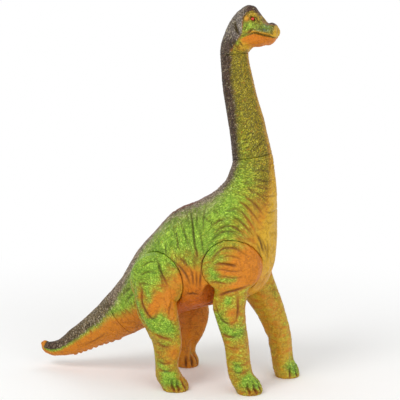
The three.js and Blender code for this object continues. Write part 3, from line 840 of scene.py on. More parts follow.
def castingForms(name):
    if "leg" in name:
        limb = name.replace("right", "").replace("left", "")
        shared = rightForelegForms if limb == "Foreleg" else rightHindlegForms
        if "left" in name:
            shared = [(lift, width, [toLeft(limb, p) for p in path]) for lift, width, path in shared]
        return shared + ownForms[name]
    if name == "tail":
        return scallopForms(tailScallops) + bothSides(tailForms)
    return bothSides({"torso": torsoForms, "neck": neckForms, "head": headForms}[name])


# the trunk swells up level with each leg's drum: degrees round the drum where the swell starts and ends, and
# its sizes in mm
collars = {
    "Foreleg": {"from": (52, 78), "to": (192, 212), "rise": (2, 12), "height": 1.5, "width": 8.0},
    "Hindleg": {"from": (-18, 2), "to": (62, 82), "rise": (2, 12), "height": 1.3, "width": 8.0},
}


def raiseCollars(mesh):
    points = readPoints(mesh)
    for joint, seam in seams.items():
        collar = collars.get(joint.replace("right", "").replace("left", ""))
        if collar:
            rel = points - seam["place"]
            height = -rel @ seam["into"]
            out = np.hypot(rel[:, 0], rel[:, 2])
            turn = np.degrees(np.arctan2(rel[:, 2], rel[:, 0]))
            turn = np.where(turn < -90, turn + 360, turn)
            share = smoothStep(turn, *collar["from"]) * (1 - smoothStep(turn, *collar["to"]))
            share *= np.exp(-(np.maximum(out - seam["radius"], 0) / collar["width"]) ** 2)
            share *= smoothStep(height, *collar["rise"])
            points -= seam["into"] * (collar["height"] * share)[:, None]
    writePoints(mesh, points)


# toes: the clefts between them, as directions in degrees from straight ahead, outwards below 0 on the right
feet = {
    "rightForeleg": {"clefts": [-78, -46, -13, 20, 55], "top": 16.0, "depth": 1.9, "width": 1.25},
    "leftForeleg": {"clefts": [78, 46, 13, -20, -60], "top": 15.0, "depth": 1.9, "width": 1.25},
    "rightHindleg": {"clefts": [-84, -57, -26, 6, 42], "top": 15.0, "depth": 1.8, "width": 1.25},
    "leftHindleg": {"clefts": [84, 57, 26, -6, -42, -72], "top": 15.0, "depth": 1.8, "width": 1.25},
}
toeHeights = (1.0, 0.78, 0.55, 0.32)  # shares of a cleft's top that its path is taken at
toeFoot = 1.2  # mm that the path ends above the ground
toeMiddle = 3.0  # mm above the ground where the foot's middle is found
toeSlice = 1.0  # mm above and below a height that count as at it
toeAim = 6.0  # degrees beside a cleft's direction that count as in it


def toePath(points, degrees, top):
    path = []
    low = points[np.abs(points[:, 2] - toeMiddle) < toeSlice]
    centre = low[:, :2].mean(0)
    for height in [top * share for share in toeHeights] + [toeFoot]:
        ring = points[np.abs(points[:, 2] - height) < toeSlice]
        rel = ring[:, :2] - centre
        turn = np.degrees(np.arctan2(rel[:, 1], rel[:, 0]))
        off = np.abs((turn - degrees + 180) % 360 - 180)
        close = ring[off < toeAim]
        if len(close):
            path.append(tuple(close[np.argmax(np.linalg.norm(close[:, :2] - centre, axis=1))]))
    return path


# how a form lies in the skin: broad ones don't taper, and narrow folds push up a lip on both sides
formSizes = {
    "reach": 10.0,
    "spreadWidths": 3.4,
    "spreadMore": 1.5,
    "ends": (0.03, 0.97),
    "broad": 2.4,
    "taper": 0.6,
    "lipWidth": 2.2,
    "lipAway": 2.2,
    "lipShare": 0.25,
    "deepFold": 1.4,
    "lowest": -4.0,
    "highest": 2.4,
}


class SkinForms:
    # gathers lifts over a relaxed skin and applies them all at once
    def __init__(self, mesh, allow):
        self.mesh = mesh
        self.points = readPoints(mesh)
        self.allow = allow
        self.lift = np.zeros(len(self.points))
        self.pit = np.zeros(len(self.points))
        self.tree = KDTree(len(self.points))
        for i, p in enumerate(self.points):
            self.tree.insert(p, i)
        self.tree.balance()

    def onSkin(self, path):
        laid = smoothPath(path)
        for i, p in enumerate(laid):
            place, index, distance = self.tree.find(p)
            if distance < formSizes["reach"]:
                laid[i] = place
        for _ in range(2):
            laid[1:-1] = (laid[:-2] + 2 * laid[1:-1] + laid[2:]) / 4
        return laid

    def add(self, lift, width, path):
        f = formSizes
        curve = self.onSkin(path)
        spread = f["spreadWidths"] * width + f["spreadMore"]
        near = np.all((self.points > curve.min(0) - spread) & (self.points < curve.max(0) + spread), axis=1)
        if not near.any():
            return
        distance, share = pathDistance(self.points[near], curve)
        taper = 1.0
        if width < f["broad"]:
            taper = np.clip(np.sin(np.pi * np.clip(share, *f["ends"])), 0, 1) ** f["taper"]
        core = np.exp(-(distance / width) ** 2) * taper
        self.lift[near] += lift * core
        if lift < 0 and width < f["lipWidth"]:
            lip = np.exp(-((distance - f["lipAway"] * width) / width) ** 2) * taper
            self.lift[near] += -f["lipShare"] * lift * lip
            self.pit[near] = np.maximum(self.pit[near], core * min(-lift, f["deepFold"]) / f["deepFold"])

    def apply(self):
        normals = readNormals(self.mesh)
        lift = np.clip(self.lift, formSizes["lowest"], formSizes["highest"]) * self.allow
        writePoints(self.mesh, self.points + normals * lift[:, None])


# an eye's socket is an almond that slopes forward, in mm and degrees; sinkFade, lidAt and lidWidth are
# shares of its size
eyeSockets = {
    "slope": -38,
    "long": 2.35,
    "high": 1.65,
    "sink": -2.3,
    "sinkFade": (0.8, 1.15),
    "lid": 1.2,
    "lidAt": 1.48,
    "lidWidth": 0.32,
    "deepest": -4,
    "around": 12,
}


def eyeSocket(forms, s):
    # the skin sinks under each eye and stands up round it as lids
    for place in eyePlaces.values():
        out = np.array(eyeDirection(place))
        rel = forms.points - np.array(place)
        up = np.array([0, 0, 1.0]) - out * out[2]
        up /= np.linalg.norm(up)
        ahead = np.array([1.0, 0, 0])
        a, b = rel @ ahead, rel @ up
        slope = math.radians(s["slope"])
        u = a * math.cos(slope) + b * math.sin(slope)
        v = -a * math.sin(slope) + b * math.cos(slope)
        size = np.sqrt((u / s["long"]) ** 2 + (v / s["high"]) ** 2)
        facing = (rel @ out > s["deepest"]) & (np.linalg.norm(rel, axis=1) < s["around"])
        sink = s["sink"] * (1 - smoothStep(size, *s["sinkFade"]))
        lid = s["lid"] * np.exp(-((size - s["lidAt"]) / s["lidWidth"]) ** 2)
        forms.lift[facing] += (sink + lid)[facing]


freeGain = 1.5  # the first smoothing reaches further towards the seams than the forms do
lastRounds = 2  # of smoothing on what isn't shaped


def shapeSkin(name, obj):
    mesh = obj.data
    allow = freeShare(name, readPoints(mesh))
    relax(mesh, castings[name]["smooth"], 1 - np.clip(allow * freeGain, 0, 1))
    forms = SkinForms(mesh, allow)
    for lift, width, path in castingForms(name):
        forms.add(lift, width, path)
    if name in feet:
        foot = feet[name]
        for degrees in foot["clefts"]:
            path = toePath(forms.points, degrees, foot["top"])
            if len(path) > 2:
                forms.add(-foot["depth"], foot["width"], path + [path[-1]])
    if name == "head":
        eyeSocket(forms, eyeSockets)
    forms.apply()
    if name == "torso":
        raiseCollars(mesh)
    relax(mesh, lastRounds, 1 - allow)
    return allow, forms.pit


# scales, creases and lumps that Geometry Nodes cut into the skin; sizes in mm
reliefs = {
    "torso": {"turn": 0.0, "long": 2.2, "cell": 2.3, "depth": 0.34, "creaseSize": 11.0,
              "creaseDepth": 0.5, "lumpSize": 10.0, "lumpHeight": 0.5, "seed": 3},
    "neck": {"turn": 0.6, "long": 1.7, "cell": 2.0, "depth": 0.28, "creaseSize": 9.0,
             "creaseDepth": 0.22, "lumpSize": 6.0, "lumpHeight": 0.3, "seed": 5},
    "head": {"turn": 0.0, "long": 1.0, "cell": 1.6, "depth": 0.2, "creaseSize": 7.0,
             "creaseDepth": 0.16, "lumpSize": 5.0, "lumpHeight": 0.25, "seed": 7},
    "tail": {"turn": 0.0, "long": 2.0, "cell": 2.1, "depth": 0.34, "creaseSize": 9.0,
             "creaseDepth": 0.25, "lumpSize": 6.0, "lumpHeight": 0.3, "seed": 11},
    "foreleg": {"turn": 0.1, "long": 1.8, "cell": 2.0, "depth": 0.28, "creaseSize": 9.0,
                "creaseDepth": 0.35, "lumpSize": 8.0, "lumpHeight": 0.5, "seed": 13},
    "hindleg": {"turn": -0.1, "long": 1.7, "cell": 2.1, "depth": 0.3, "creaseSize": 9.0,
                "creaseDepth": 0.4, "lumpSize": 8.0, "lumpHeight": 0.55, "seed": 17},
}
reliefInputs = ("Turn", "Shrink", "Scale Density", "Scale Depth", "Crease Density", "Crease Depth",
                "Lump Density", "Lump Height", "Seed")
seedStep = (3.17, 7.41, 5.23)  # how far the noise moves on for each seed
reliefWobble = 0.005  # m
valleyWidth = 0.24  # share of a scale
creaseWidth = 0.045  # of the noise's value


def strokePlace(tree, vector, turn, shrink):
    # turned so that strokes run along the second direction, which the shrink then draws out
    inputs = {"Vector": vector, "Angle": turn}
    turned = addNode(tree, "ShaderNodeVectorRotate", inputs, rotation_type="Z_AXIS")
    drawn = addNode(tree, "ShaderNodeCombineXYZ", {0: 1.0, 1: shrink, 2: shrink})
    return vectorMaths(tree, "MULTIPLY", turned.outputs[0], drawn.outputs[0])


def stored(tree, name, kind="FLOAT"):
    return addNode(tree, "GeometryNodeInputNamedAttribute", {"Name": name}, data_type=kind).outputs[0]


def reliefTree():
    inputs = [("Geometry", "Geometry", None)] + [(label, "Float", None) for label in reliefInputs]
    inputs.append(("Paint", "Material", None))
    tree, given, out = newGroup("skinRelief", "Geometry", inputs, [("Geometry", "Geometry")])
    there = addNode(tree, "GeometryNodeInputPosition").outputs[0]
    there = vectorMaths(tree, "ADD", there, scaled(tree, seedStep, given["Seed"]))
    lumps = noise(tree, there, given["Lump Density"], 2.0)
    shift = wobble(tree, lumps, reliefWobble)
    # scales drawn out along each run, the runs blended by their share
    valleys = []
    for run in ("flow", "arcs"):
        place = vectorMaths(tree, "ADD", stored(tree, run, "FLOAT_VECTOR"), shift)
        place = strokePlace(tree, place, given["Turn"], given["Shrink"])
        edge = cells(tree, place, given["Scale Density"])["Distance"]
        valleys.append(ramp(tree, edge, 0.0, valleyWidth, 1.0, 0.0))
    valley = ramp(tree, stored(tree, "arcShare"), 0.0, 1.0, *valleys)
    folds = noise(tree, vectorMaths(tree, "ADD", there, shift), given["Crease Density"], 3.0, 0.55)["Fac"]
    crease = band(tree, folds, 0.5, 0.0, creaseWidth)
    cut = maths(tree, "ADD", times(tree, valley, given["Scale Depth"]),
                times(tree, crease, given["Crease Depth"]))
    cut = times(tree, cut, stored(tree, "cutShare"))
    lump = times(tree, maths(tree, "SUBTRACT", lumps["Fac"], 0.5), given["Lump Height"])
    lump = times(tree, lump, stored(tree, "reliefShare"))
    lift = times(tree, maths(tree, "SUBTRACT", lump, cut), mm)
    offset = scaled(tree, addNode(tree, "GeometryNodeInputNormal").outputs[0], lift)
    kept = given["Geometry"]
    for label, value in (("hollow", valley), ("crease", crease)):
        inputs = {"Geometry": kept, "Name": label, "Value": value}
        kept = addNode(tree, "GeometryNodeStoreNamedAttribute", inputs, data_type="FLOAT",
                       domain="POINT").outputs[0]
    moved = addNode(tree, "GeometryNodeSetPosition", {"Geometry": kept, "Offset": offset})
    real = addNode(tree, "GeometryNodeRealizeInstances", {"Geometry": moved.outputs[0]})
    painted = addNode(tree, "GeometryNodeSetMaterial",
                      {"Geometry": real.outputs[0], "Material": given["Paint"]})
    tree.links.new(painted.outputs[0], out.inputs["Geometry"])
    return tree


def setInputs(modifier, values):
    for item in modifier.node_group.interface.items_tree:
        if item.item_type == "SOCKET" and item.in_out == "INPUT" and item.name in values:
            modifier[item.identifier] = values[item.name]


def carveRelief(obj, tree, relief, material, keep):
    modifier = obj.modifiers.new("relief", "NODES")
    modifier.node_group = tree
    setInputs(modifier, {
        "Turn": relief["turn"], "Shrink": 1.0 / relief["long"],
        "Scale Density": 1000.0 / relief["cell"], "Scale Depth": relief["depth"],
        "Crease Density": 1000.0 / relief["creaseSize"], "Crease Depth": relief["creaseDepth"],
        "Lump Density": 1000.0 / relief["lumpSize"], "Lump Height": relief["lumpHeight"],
        "Seed": float(relief["seed"]), "Paint": material,
    })
    if keep < 1:
        thin = obj.modifiers.new("thin", "DECIMATE")
        thin.ratio = keep
    mesh = bakedMesh(obj)
    obj.modifiers.clear()
    old = obj.data
    obj.data = mesh
    bpy.data.meshes.remove(old)
    mesh.name = obj.name


# mm: the room that the torso leaves a leg that swings past it, how deep a rub is looked for, and the stretch
# round and below the joint where the torso may give way; low is a share of the drum's radius
swingRoom = {"room": 0.25, "reach": 2.0, "round": 30, "legBelow": 35, "low": 0.2, "steps": 5}


def easeSwing(torso, leg, name):
    # the torso's skin gives way where the leg's sculpted skin would rub it between the ends of its swing
    s = swingRoom
    place, radius = seams[name]["place"], seams[name]["radius"]
    x, y, z = readPoints(leg).T
    x, z = x - place[0], z - place[2]
    lowest = (place[2] - radius - s["legBelow"]) * mm
    faces = [tuple(face.vertices) for face in leg.polygons if face.center.z > lowest]
    points = readPoints(torso)
    out = np.hypot(points[:, 0] - place[0], points[:, 2] - place[2])
    low = points[:, 2] < place[2] - radius * s["low"]
    near = np.flatnonzero((out < radius + s["round"]) & low & (points[:, 1] * place[1] > 0))
    for degrees in np.linspace(*swings[name], s["steps"]):
        turn = math.radians(degrees)
        turned = np.stack([x * math.cos(turn) + z * math.sin(turn) + place[0], y,
                           z * math.cos(turn) - x * math.sin(turn) + place[2]], 1)
        tree = BVHTree.FromPolygons(turned.tolist(), faces)
        for i in near:
            found, normal, face, distance = tree.find_nearest(points[i], s["reach"])
            if found is not None:
                height = math.copysign(distance, (Vector(points[i]) - found).dot(normal))
                if height < s["room"]:
                    points[i] += np.array(normal) * (s["room"] - height)
    writePoints(torso, points)


# where each paint goes: (row on the body line, degrees round from the spine to full cover, to none)
paintEdges = {
    "stripe": [(0, 62, 80), (0.5, 73, 90), (2, 76, 92), (4.1, 71, 88), (5.5, 67, 84), (6.9, 64, 82),
               (8.4, 54, 74), (9.0, 43, 64), (9.5, 38, 60), (10.0, 32, 54), (10.4, 25, 46), (11.0, 15, 36),
               (11.5, 8, 28), (12.7, 8, 28), (15.7, 10, 34), (16.7, 18, 44), (17.3, 28, 54), (17.8, 40, 66),
               (18.4, 44, 72), (19.3, 52, 82), (20.4, 64, 94), (21.2, 70, 100), (23.5, 76, 104),
               (24.4, 76, 102)],
    "green": [(0, 78, 108), (2.3, 86, 114), (3.9, 76, 100), (5.1, 70, 96), (6.6, 68, 96), (7.6, 62, 92),
              (8.2, 74, 106), (8.9, 82, 116), (10, 86, 118), (11, 82, 116), (11.9, 74, 104), (12.7, 74, 108),
              (13.4, 72, 112), (14.6, 74, 128), (15.7, 78, 142), (17, 70, 152), (18, 58, 156), (19, 48, 160),
              (24, 40, 160)],
    "warm": [(12, 180, 190), (13.5, 110, 134), (14.6, 106, 136), (15.7, 118, 142), (17.0, 132, 158),
             (18.0, 146, 168), (19.5, 156, 176), (21.5, 160, 178), (23, 160, 178), (25, 150, 170)],
}

# shares of paint by row on the body line
rowShares = {
    "grey": [(0, 0.0), (2.0, 0.0), (4.0, 0.5), (6, 0.9), (9, 1.0), (16, 1.0), (18, 0.6), (20, 0.05),
             (23, 0.1), (24.5, 0.25), (26, 0.5), (28, 1.0), (33, 1.0)],
    "wash": [(6, 0), (8, 0.25), (9.5, 0.5), (11, 0.5), (14, 0.5), (16.5, 0.45), (18, 0)],
    "ridge": [(4, 0), (8, 0.8), (12, 1), (19, 1), (21, 0)],
    "warm": [(17, 1), (19.5, 0.6)],
    "neckGreen": [(16.8, 1), (18, 0.7), (19, 0.42), (20, 0.25), (21.5, 0.1), (24, 0.05)],
}

# rows, and degrees round from the spine, over which a paint comes in or runs out; washPast is how far past
# the stripe's end the wash does
rowFades = {
    "stripeStart": (0.3, 1.1), "tailGreenStart": (0.4, 1.4), "warmStart": (12.0, 15.5), "deepStart": (9, 11),
    "deepEnd": (12.5, 15), "deepRound": (100, 150), "oliveStart": (15.6, 18.2), "ridgeRound": (4, 11),
    "washPast": (-4, 16),
}

# how much of a paint another one hides, and how much of the green misses the folds
hiding = {"oliveOverGreen": 0.6, "warmOverOlive": 0.75, "foldMiss": 2.2}

# soft spots of paint on the trunk in side view: (x, z, radius, amount) in mm; amounts below 0 leave the
# orange bare
trunkSpots = [
    (67, 122, 7, 0.7), (75, 120, 6, 0.6), (84, 121, 6, 0.7), (92, 123, 5, 0.6), (64, 132, 6, 0.6),
    (69, 128, 5, 0.4), (69, 140, 6, 0.3), (79, 143, 6, 0.25), (66, 150, 6, 0.3), (68, 112, 4, -0.5),
    (80, 111, 5, -0.7), (90, 113, 5, -0.7), (97, 118, 5, -0.6), (104, 138, 13, -0.5), (102, 125, 8, -0.5),
    (83, 132, 5, -0.3), (91, 134, 6, -0.35), (78, 150, 4, -0.2), (88, 153, 6, -0.25), (25, 142, 4, -0.35),
    (30, 137, 4, -0.5), (36, 131, 5, -0.6), (41, 124, 6, -0.7), (26, 135, 3, 0.5), (32, 130, 3, 0.5),
    (37, 123, 3, 0.45), (92, 200, 9, -0.12), (102, 194, 9, -0.15), (104, 180, 8, -0.15), (60, 150, 8, 0.2),
    (62, 130, 4, 0.3),
]
# olive spots: partly olive paint, partly painted shade where the lower flank is darker
trunkOliveAndShade = [
    (24, 145, 6, 0.4), (31, 142, 7, 0.6), (39, 141, 8, 0.9), (48, 141, 8, 0.9), (55, 139, 7, 0.7),
    (60, 131, 6, 0.5), (78, 156, 8, 0.6), (90, 157, 8, 0.5), (70, 150, 6, 0.4), (100, 170, 8, 0.3),
    (108, 196, 9, 0.5), (104, 212, 9, 0.4), (72, 176, 7, 0.3), (88, 180, 7, 0.3), (-2, 112, 6, 0.2),
    (20, 132, 5, 0.3),
]

# the same on the legs: (x, y, z, radius, amount)
rightForelegSpots = [
    (84, -49, 99, 5, 0.7), (84, -48, 72, 8, 0.5), (74, -46, 82, 8, 0.5), (97, -44, 67, 7, 0.5),
    (90, -48, 63, 6, 0.4), (76, -45, 68, 8, 0.3), (93, -48, 31, 5, 0.5), (95, -48, 26, 5, 0.5),
    (106, -42, 19, 6, 0.6), (104, -48, 13, 6, 0.5), (113, -42, 11, 6, 0.6), (101, -48, 15, 6, 0.3),
    (88, -49, 86, 7, -0.35), (87, -49, 76, 4, -0.4), (114, -34, 14, 7, 0.5),
]
rightHindlegSpots = [
    (3, -56, 120, 10, 0.5), (-16, -51, 113, 6, 0.4), (-15, -52, 102, 5, 0.6), (-12, -55, 92, 5, 0.7),
    (-6, -57, 82, 6, 0.7), (3, -59, 74, 7, 0.8), (-1, -58, 112, 5, 0.5), (1, -59, 104, 5, 0.5),
    (3, -60, 96, 4, 0.4), (15, -59, 77, 7, 0.5), (16, -59, 69, 8, 0.6), (27, -54, 64, 7, 0.4),
    (6, -59, 71, 7, 0.5), (22, -57, 72, 7, 0.5), (18, -58, 50, 7, 0.4), (13, -56, 30, 6, 0.4),
    (24, -58, 15, 8, 0.6), (17, -58, 10, 6, 0.3), (31, -57, 10, 6, 0.5), (19, -58, 21, 6, 0.4),
    (3, -60, 83, 6, -0.6), (7, -60, 90, 6, -0.6), (10, -59, 98, 6, -0.4), (23, -54, 92, 9, -0.5),
    (20, -55, 106, 8, -0.3), (26, -53, 79, 6, -0.4), (27, -55, 42, 9, -0.4), (26, -52, 104, 6, -0.4),
    (24, -54, 118, 6, -0.3),
]
leftForelegSpots = [
    (115, 28, 98, 5, 0.4), (118, 28, 89, 4, 0.4), (128, 28, 60, 4, 0.3), (137, 28, 10, 6, 0.7),
    (132, 24, 13, 6, 0.5), (139, 30, 7, 5, 0.5),
]
legPaint = {
    "rightForeleg": {"spots": rightForelegSpots,
                     "outer": 0.42, "inner": 0.2, "joins": (108, 122), "warm": 0.0},
    "leftForeleg": {"spots": [toLeft("Foreleg", spot) for spot in rightForelegSpots] + leftForelegSpots,
                    "outer": 0.36, "inner": 0.22, "joins": (108, 122), "warm": 0.4},
    "rightHindleg": {"spots": rightHindlegSpots,
                     "outer": 0.4, "inner": 0.12, "joins": (100, 122), "warm": 0.0},
    "leftHindleg": {"spots": [toLeft("Hindleg", spot) for spot in rightHindlegSpots],
                    "outer": 0.4, "inner": 0.06, "joins": (100, 122), "warm": 0.0},
}

# where a leg's paints come in: round it, from -1 on its inside to 1 on its outside, and up it in mm
legFades = {"outside": (-0.45, 0.5), "upperSide": (-0.75, -0.35), "deepUp": (0, 60)}
legUnderShade = 0.5  # share of the darker orange on the inside, painted shade

# the face in side view, mm: lines that part its colours, how softly, and spots as (x, z, half width, half
# height)
faceLines = {
    "behind": [(350, 77), (358, 80), (365, 85), (371, 88.5), (377, 89), (383, 88.5), (388, 88.5), (392, 91),
               (394, 96), (396, 103)],
    "above": [(90, 392), (96, 394.5), (99, 393.6), (102, 391.6), (105, 388.6), (107, 386), (109, 383),
              (112, 380.3), (118, 379.6), (121, 379)],
    "mouth": [(86, 365), (94, 369), (99, 371), (103, 371.6), (109, 370.2), (115, 368.6), (120, 367),
              (124, 366.6)],
    "nape": [(350, 97), (356, 92.5), (362, 87.5), (366, 85), (371, 88)],
}
faceSoftness = {"behind": (-1.4, 1.2), "above": (-0.8, 1.0), "mouth": (-1.2, 0.8), "nape": (-1.5, 2.0)}
faceSpots = {
    "cheek": (97, 379, 8, 4.5), "muzzle": (112, 377, 8, 3.2), "jowl": (92, 374, 3.5, 5),
    "blot": (81, 363, 5, 3.5), "eyeRing": (92.5, 386.5, 3.2, 2.8), "cheekLine": (95, 373, 5, 1.4),
    "throat": (91, 357, 6, 5), "nostril": (112, 375.5, 7, 2.2), "noseTop": (114, 380, 6, 1.6),
    "crown": (97, 396, 10, 7),
}
faceFades = {
    "snoutTip": (119.2, 121.8), "blotUp": (353, 360), "greyUp": (358, 378), "greyFront": (99, 104),
    "neckJoin": (350.5, 357),
}
browRing = {"x": 98, "z": 384, "stretch": 1.1, "radius": 6.5, "width": 1.6, "above": (383, 386)}
lipLine = {"above": 2.2, "width": 1.0, "front": (97, 101)}


def edgeCover(name, row, angle):
    rows, full, none = zip(*paintEdges[name])
    return 1 - smoothStep(angle, np.interp(row, rows, full), np.interp(row, rows, none))


def blob(x, z, spot):
    spotX, spotZ, wide, high = spot
    return np.exp(-(((x - spotX) / wide) ** 2 + ((z - spotZ) / high) ** 2))


def pastLine(value, line, along):
    # 0 on one side of a face line and 1 on the other
    low, high = faceSoftness[line]
    edge = lineAt(faceLines[line], along)
    return smoothStep(value, edge + low, edge + high)


def headMarks(points, base):
    # below the face the neck's own paint carries on
    x, z = points[:, 0], points[:, 2]
    spots = {label: blob(x, z, spot) for label, spot in faceSpots.items()}
    cap = np.maximum(1 - pastLine(x, "behind", z), pastLine(z, "above", x))
    lower = 1 - pastLine(z, "mouth", x)
    jaw = lower * pastLine(x, "nape", z)
    face = (1 - cap) * (1 - lower)
    tip = smoothStep(x, *faceFades["snoutTip"])
    cheek = np.clip(spots["cheek"] + spots["muzzle"] + 0.8 * spots["jowl"], 0, 1)
    blot = spots["blot"] * smoothStep(z, *faceFades["blotUp"])
    orange = np.clip(spots["eyeRing"] + 0.6 * spots["cheekLine"], 0, 1)
    lip = np.exp(-((z - lineAt(faceLines["mouth"], x) - lipLine["above"]) / lipLine["width"]) ** 2)
    lip = lip * smoothStep(x, *lipLine["front"])
    throat = spots["throat"] * (1 - cap)
    ring = np.hypot((x - browRing["x"]) / browRing["stretch"], z - browRing["z"])
    brow = np.exp(-((ring - browRing["radius"]) / browRing["width"]) ** 2)
    brow = brow * smoothStep(z, *browRing["above"])
    grey = np.clip(smoothStep(z, *faceFades["greyUp"]) * 0.85 + 0.15 - 1.3 * spots["crown"], 0, 1)
    head = {
        "stripe": cap,
        "green": 0.72 * cheek * face * (1 - tip) * (1 - 0.8 * lip) + 0.9 * blot,
        "olive": np.maximum(face * (1 - orange) * (1 - 0.7 * lip) * (1 - 0.6 * tip),
                            (1 - cap) * lower * (1 - jaw) * (1 - 0.8 * throat)),
        "warm": np.clip((tip + lip * 0.6 + brow * 0.5) * face + throat, 0, 1),
        "wash": 0.9 * np.clip(spots["nostril"] + 0.7 * spots["noseTop"], 0, 1) * face,
        # darker orange on the jaw: painted shade
        "deep": jaw * 0.3,
        "grey": grey * (1 - smoothStep(x, *faceFades["greyFront"])),
    }
    share = smoothStep(z, *faceFades["neckJoin"])
    return {label: head.get(label, values) * share + values * (1 - share) for label, values in base.items()}


def legMarks(name, points, normals, green, oliveAndShade):
    plan = legPaint[name]
    z = points[:, 2]
    bare = 0 * z
    outward = normals[:, 1] * (-1 if "right" in name else 1)
    facing = smoothStep(outward, *legFades["outside"])
    lower = plan["inner"] + (plan["outer"] - plan["inner"]) * facing
    for spotX, spotY, spotZ, radius, amount in plan["spots"]:
        away = np.linalg.norm(points - np.array([spotX, spotY, spotZ]), axis=1)
        lower = lower + amount * np.exp(-(away / radius) ** 2)
    upper = smoothStep(z, *plan["joins"]) * smoothStep(outward, *legFades["upperSide"])
    return {
        "green": green * upper * (1 - hiding["oliveOverGreen"] * oliveAndShade) + lower * (1 - upper),
        "olive": oliveAndShade * upper,
        # darker orange on the leg's inside: painted shade
        "deep": legUnderShade * (1 - facing) * smoothStep(z, *legFades["deepUp"]),
        "warm": plan["warm"] + bare,
        "stripe": bare, "grey": bare, "wash": bare, "ridge": bare,
    }


def bodyMarks(name, row, angle, green, oliveAndShade):
    f = rowFades
    rows, full, none = zip(*paintEdges["stripe"])
    stripeEnd = np.interp(row, rows, none)
    washGone = smoothStep(angle, *(stripeEnd + past for past in f["washPast"]))
    warm = (1 - edgeCover("warm", row, angle)) * smoothStep(row, *f["warmStart"])
    warm = warm * lineAt(rowShares["warm"], row)
    olive = smoothStep(row, *f["oliveStart"]) * (1 - hiding["warmOverOlive"] * warm)
    # darker orange low on the sides and belly: painted shade
    deep = (1 - smoothStep(row, *f["deepEnd"])) * smoothStep(angle, *f["deepRound"])
    green = green * (1 - hiding["oliveOverGreen"] * oliveAndShade)
    if name != "tail":
        green = green * lineAt(rowShares["neckGreen"], row)
    return {
        "green": green,
        "stripe": edgeCover("stripe", row, angle) * smoothStep(row, *f["stripeStart"]),
        "warm": warm,
        "deep": deep * smoothStep(row, *f["deepStart"]),
        "olive": np.maximum(olive, oliveAndShade * (name == "torso")),
        "grey": lineAt(rowShares["grey"], row),
        "wash": lineAt(rowShares["wash"], row) * (1 - washGone),
        "ridge": (1 - smoothStep(angle, *f["ridgeRound"])) * lineAt(rowShares["ridge"], row),
    }


def paintMasks(name, mesh, allow, pit):
    points = readPoints(mesh)
    x, z = points[:, 0], points[:, 2]
    row, angle = bodyPlace(points, bodyLine)
    green = edgeCover("green", row, angle)
    for spotX, spotZ, radius, amount in trunkSpots:
        green = green + amount * blob(x, z, (spotX, spotZ, radius, radius))
    oliveAndShade = 0 * x
    for spotX, spotZ, radius, amount in trunkOliveAndShade:
        oliveAndShade = np.maximum(oliveAndShade, amount * blob(x, z, (spotX, spotZ, radius, radius)))
    if "leg" in name:
        marks = legMarks(name, points, readNormals(mesh), green, oliveAndShade)
    else:
        marks = bodyMarks(name, row, angle, green, oliveAndShade)
    if name == "head":
        marks = headMarks(points, marks)
    # sprayed from outside, the green misses the folds where it thins out
    green = np.clip(marks["green"], 0, 1)
    marks["green"] = green - hiding["foldMiss"] * pit * green * (1 - green)
    if name == "tail":
        marks["green"] = marks["green"] * smoothStep(row, *rowFades["tailGreenStart"])
    flow, arcs, arcShare = flowPlaces(name, points)
    marks.update(pit=pit, reliefShare=allow, cutShare=cutShare(name, points), arcShare=arcShare)
    for label, values in marks.items():
        storeValues(mesh, label, values)
    for label, places in (("flow", flow), ("arcs", arcs)):
        attribute = mesh.attributes.new(label, "FLOAT_VECTOR", "POINT")
        attribute.data.foreach_set("vector", (places * mm).astype(np.float32).ravel())


# vinyl and its paint: each coat's colour in the low places of the pebbles and on their tops, darker low down
# as painted shade and lighter on top as painted highlight
coatPaints = {
    "orange": ("#B06006", "#E2901C"),
    "warm": ("#AC7E0A", "#E8BC34"),
    # darker orange painted as shade on the underside, under the jaw and on the legs' insides
    "deep": ("#A04400", "#E4780A"),
    "green": ("#56800A", "#B8DC48"),
    "olive": ("#4C4602", "#BCA41C"),
    "stripe": ("#120804", "#664634"),
}
touchPaints = {
    "ridge": "#6E2A12",
    "rust": "#A05C0E",
    "dryBrush": "#C8B8A0",
    # multiplied into folds and creases as painted shade
    "foldWash": "#9C8858",
    "fleck": "#4A3C06",
    "glint": "#DCE088",
}

# grain and bump in mm, long is how far strokes are drawn out; the rest are shares of paint
vinyls = {
    "torso": {"grain": 1.25, "long": 3.0, "lines": 0.75, "bump": 0.3, "dryBrush": 0.9, "fleck": 0.3,
              "glint": 0.08, "rust": 0.25,
              "grey": ("#3E2C1A", "#B09A7C"), "wash": ("#6E5E2C", "#DCD4A4")},
    "neck": {"grain": 1.2, "long": 2.0, "lines": 0.7, "bump": 0.3, "dryBrush": 0.8, "fleck": 0.7,
             "glint": 0.14, "rust": 0.6,
             "grey": ("#2E2416", "#827254"), "wash": ("#5E5A2C", "#B8B480")},
    "head": {"grain": 1.3, "long": 1.3, "lines": 0.85, "bump": 0.2, "dryBrush": 0.6, "fleck": 0.8,
             "glint": 0.16, "rust": 0.3,
             "grey": ("#32281E", "#AAA096"), "wash": ("#20280E", "#9CB4A4")},
    "tail": {"grain": 1.4, "long": 2.4, "lines": 0.5, "bump": 0.3, "dryBrush": 0.8, "fleck": 0.2,
             "glint": 0.06, "rust": 0.0,
             "grey": ("#2C2010", "#968258"), "wash": ("#6E5E2C", "#D0C898")},
    "foreleg": {"grain": 1.2, "long": 2.2, "lines": 0.6, "bump": 0.26, "dryBrush": 0.0, "fleck": 0.35,
                "glint": 0.06, "rust": 0.3,
                "grey": ("#3E3218", "#A8945C"), "wash": ("#6E5E2C", "#D0C898")},
    "hindleg": {"grain": 1.2, "long": 2.2, "lines": 0.7, "bump": 0.28, "dryBrush": 0.0, "fleck": 0.3,
                "glint": 0.07, "rust": 0.2,
                "grey": ("#3E3218", "#A8945C"), "wash": ("#6E5E2C", "#D0C898")},
}
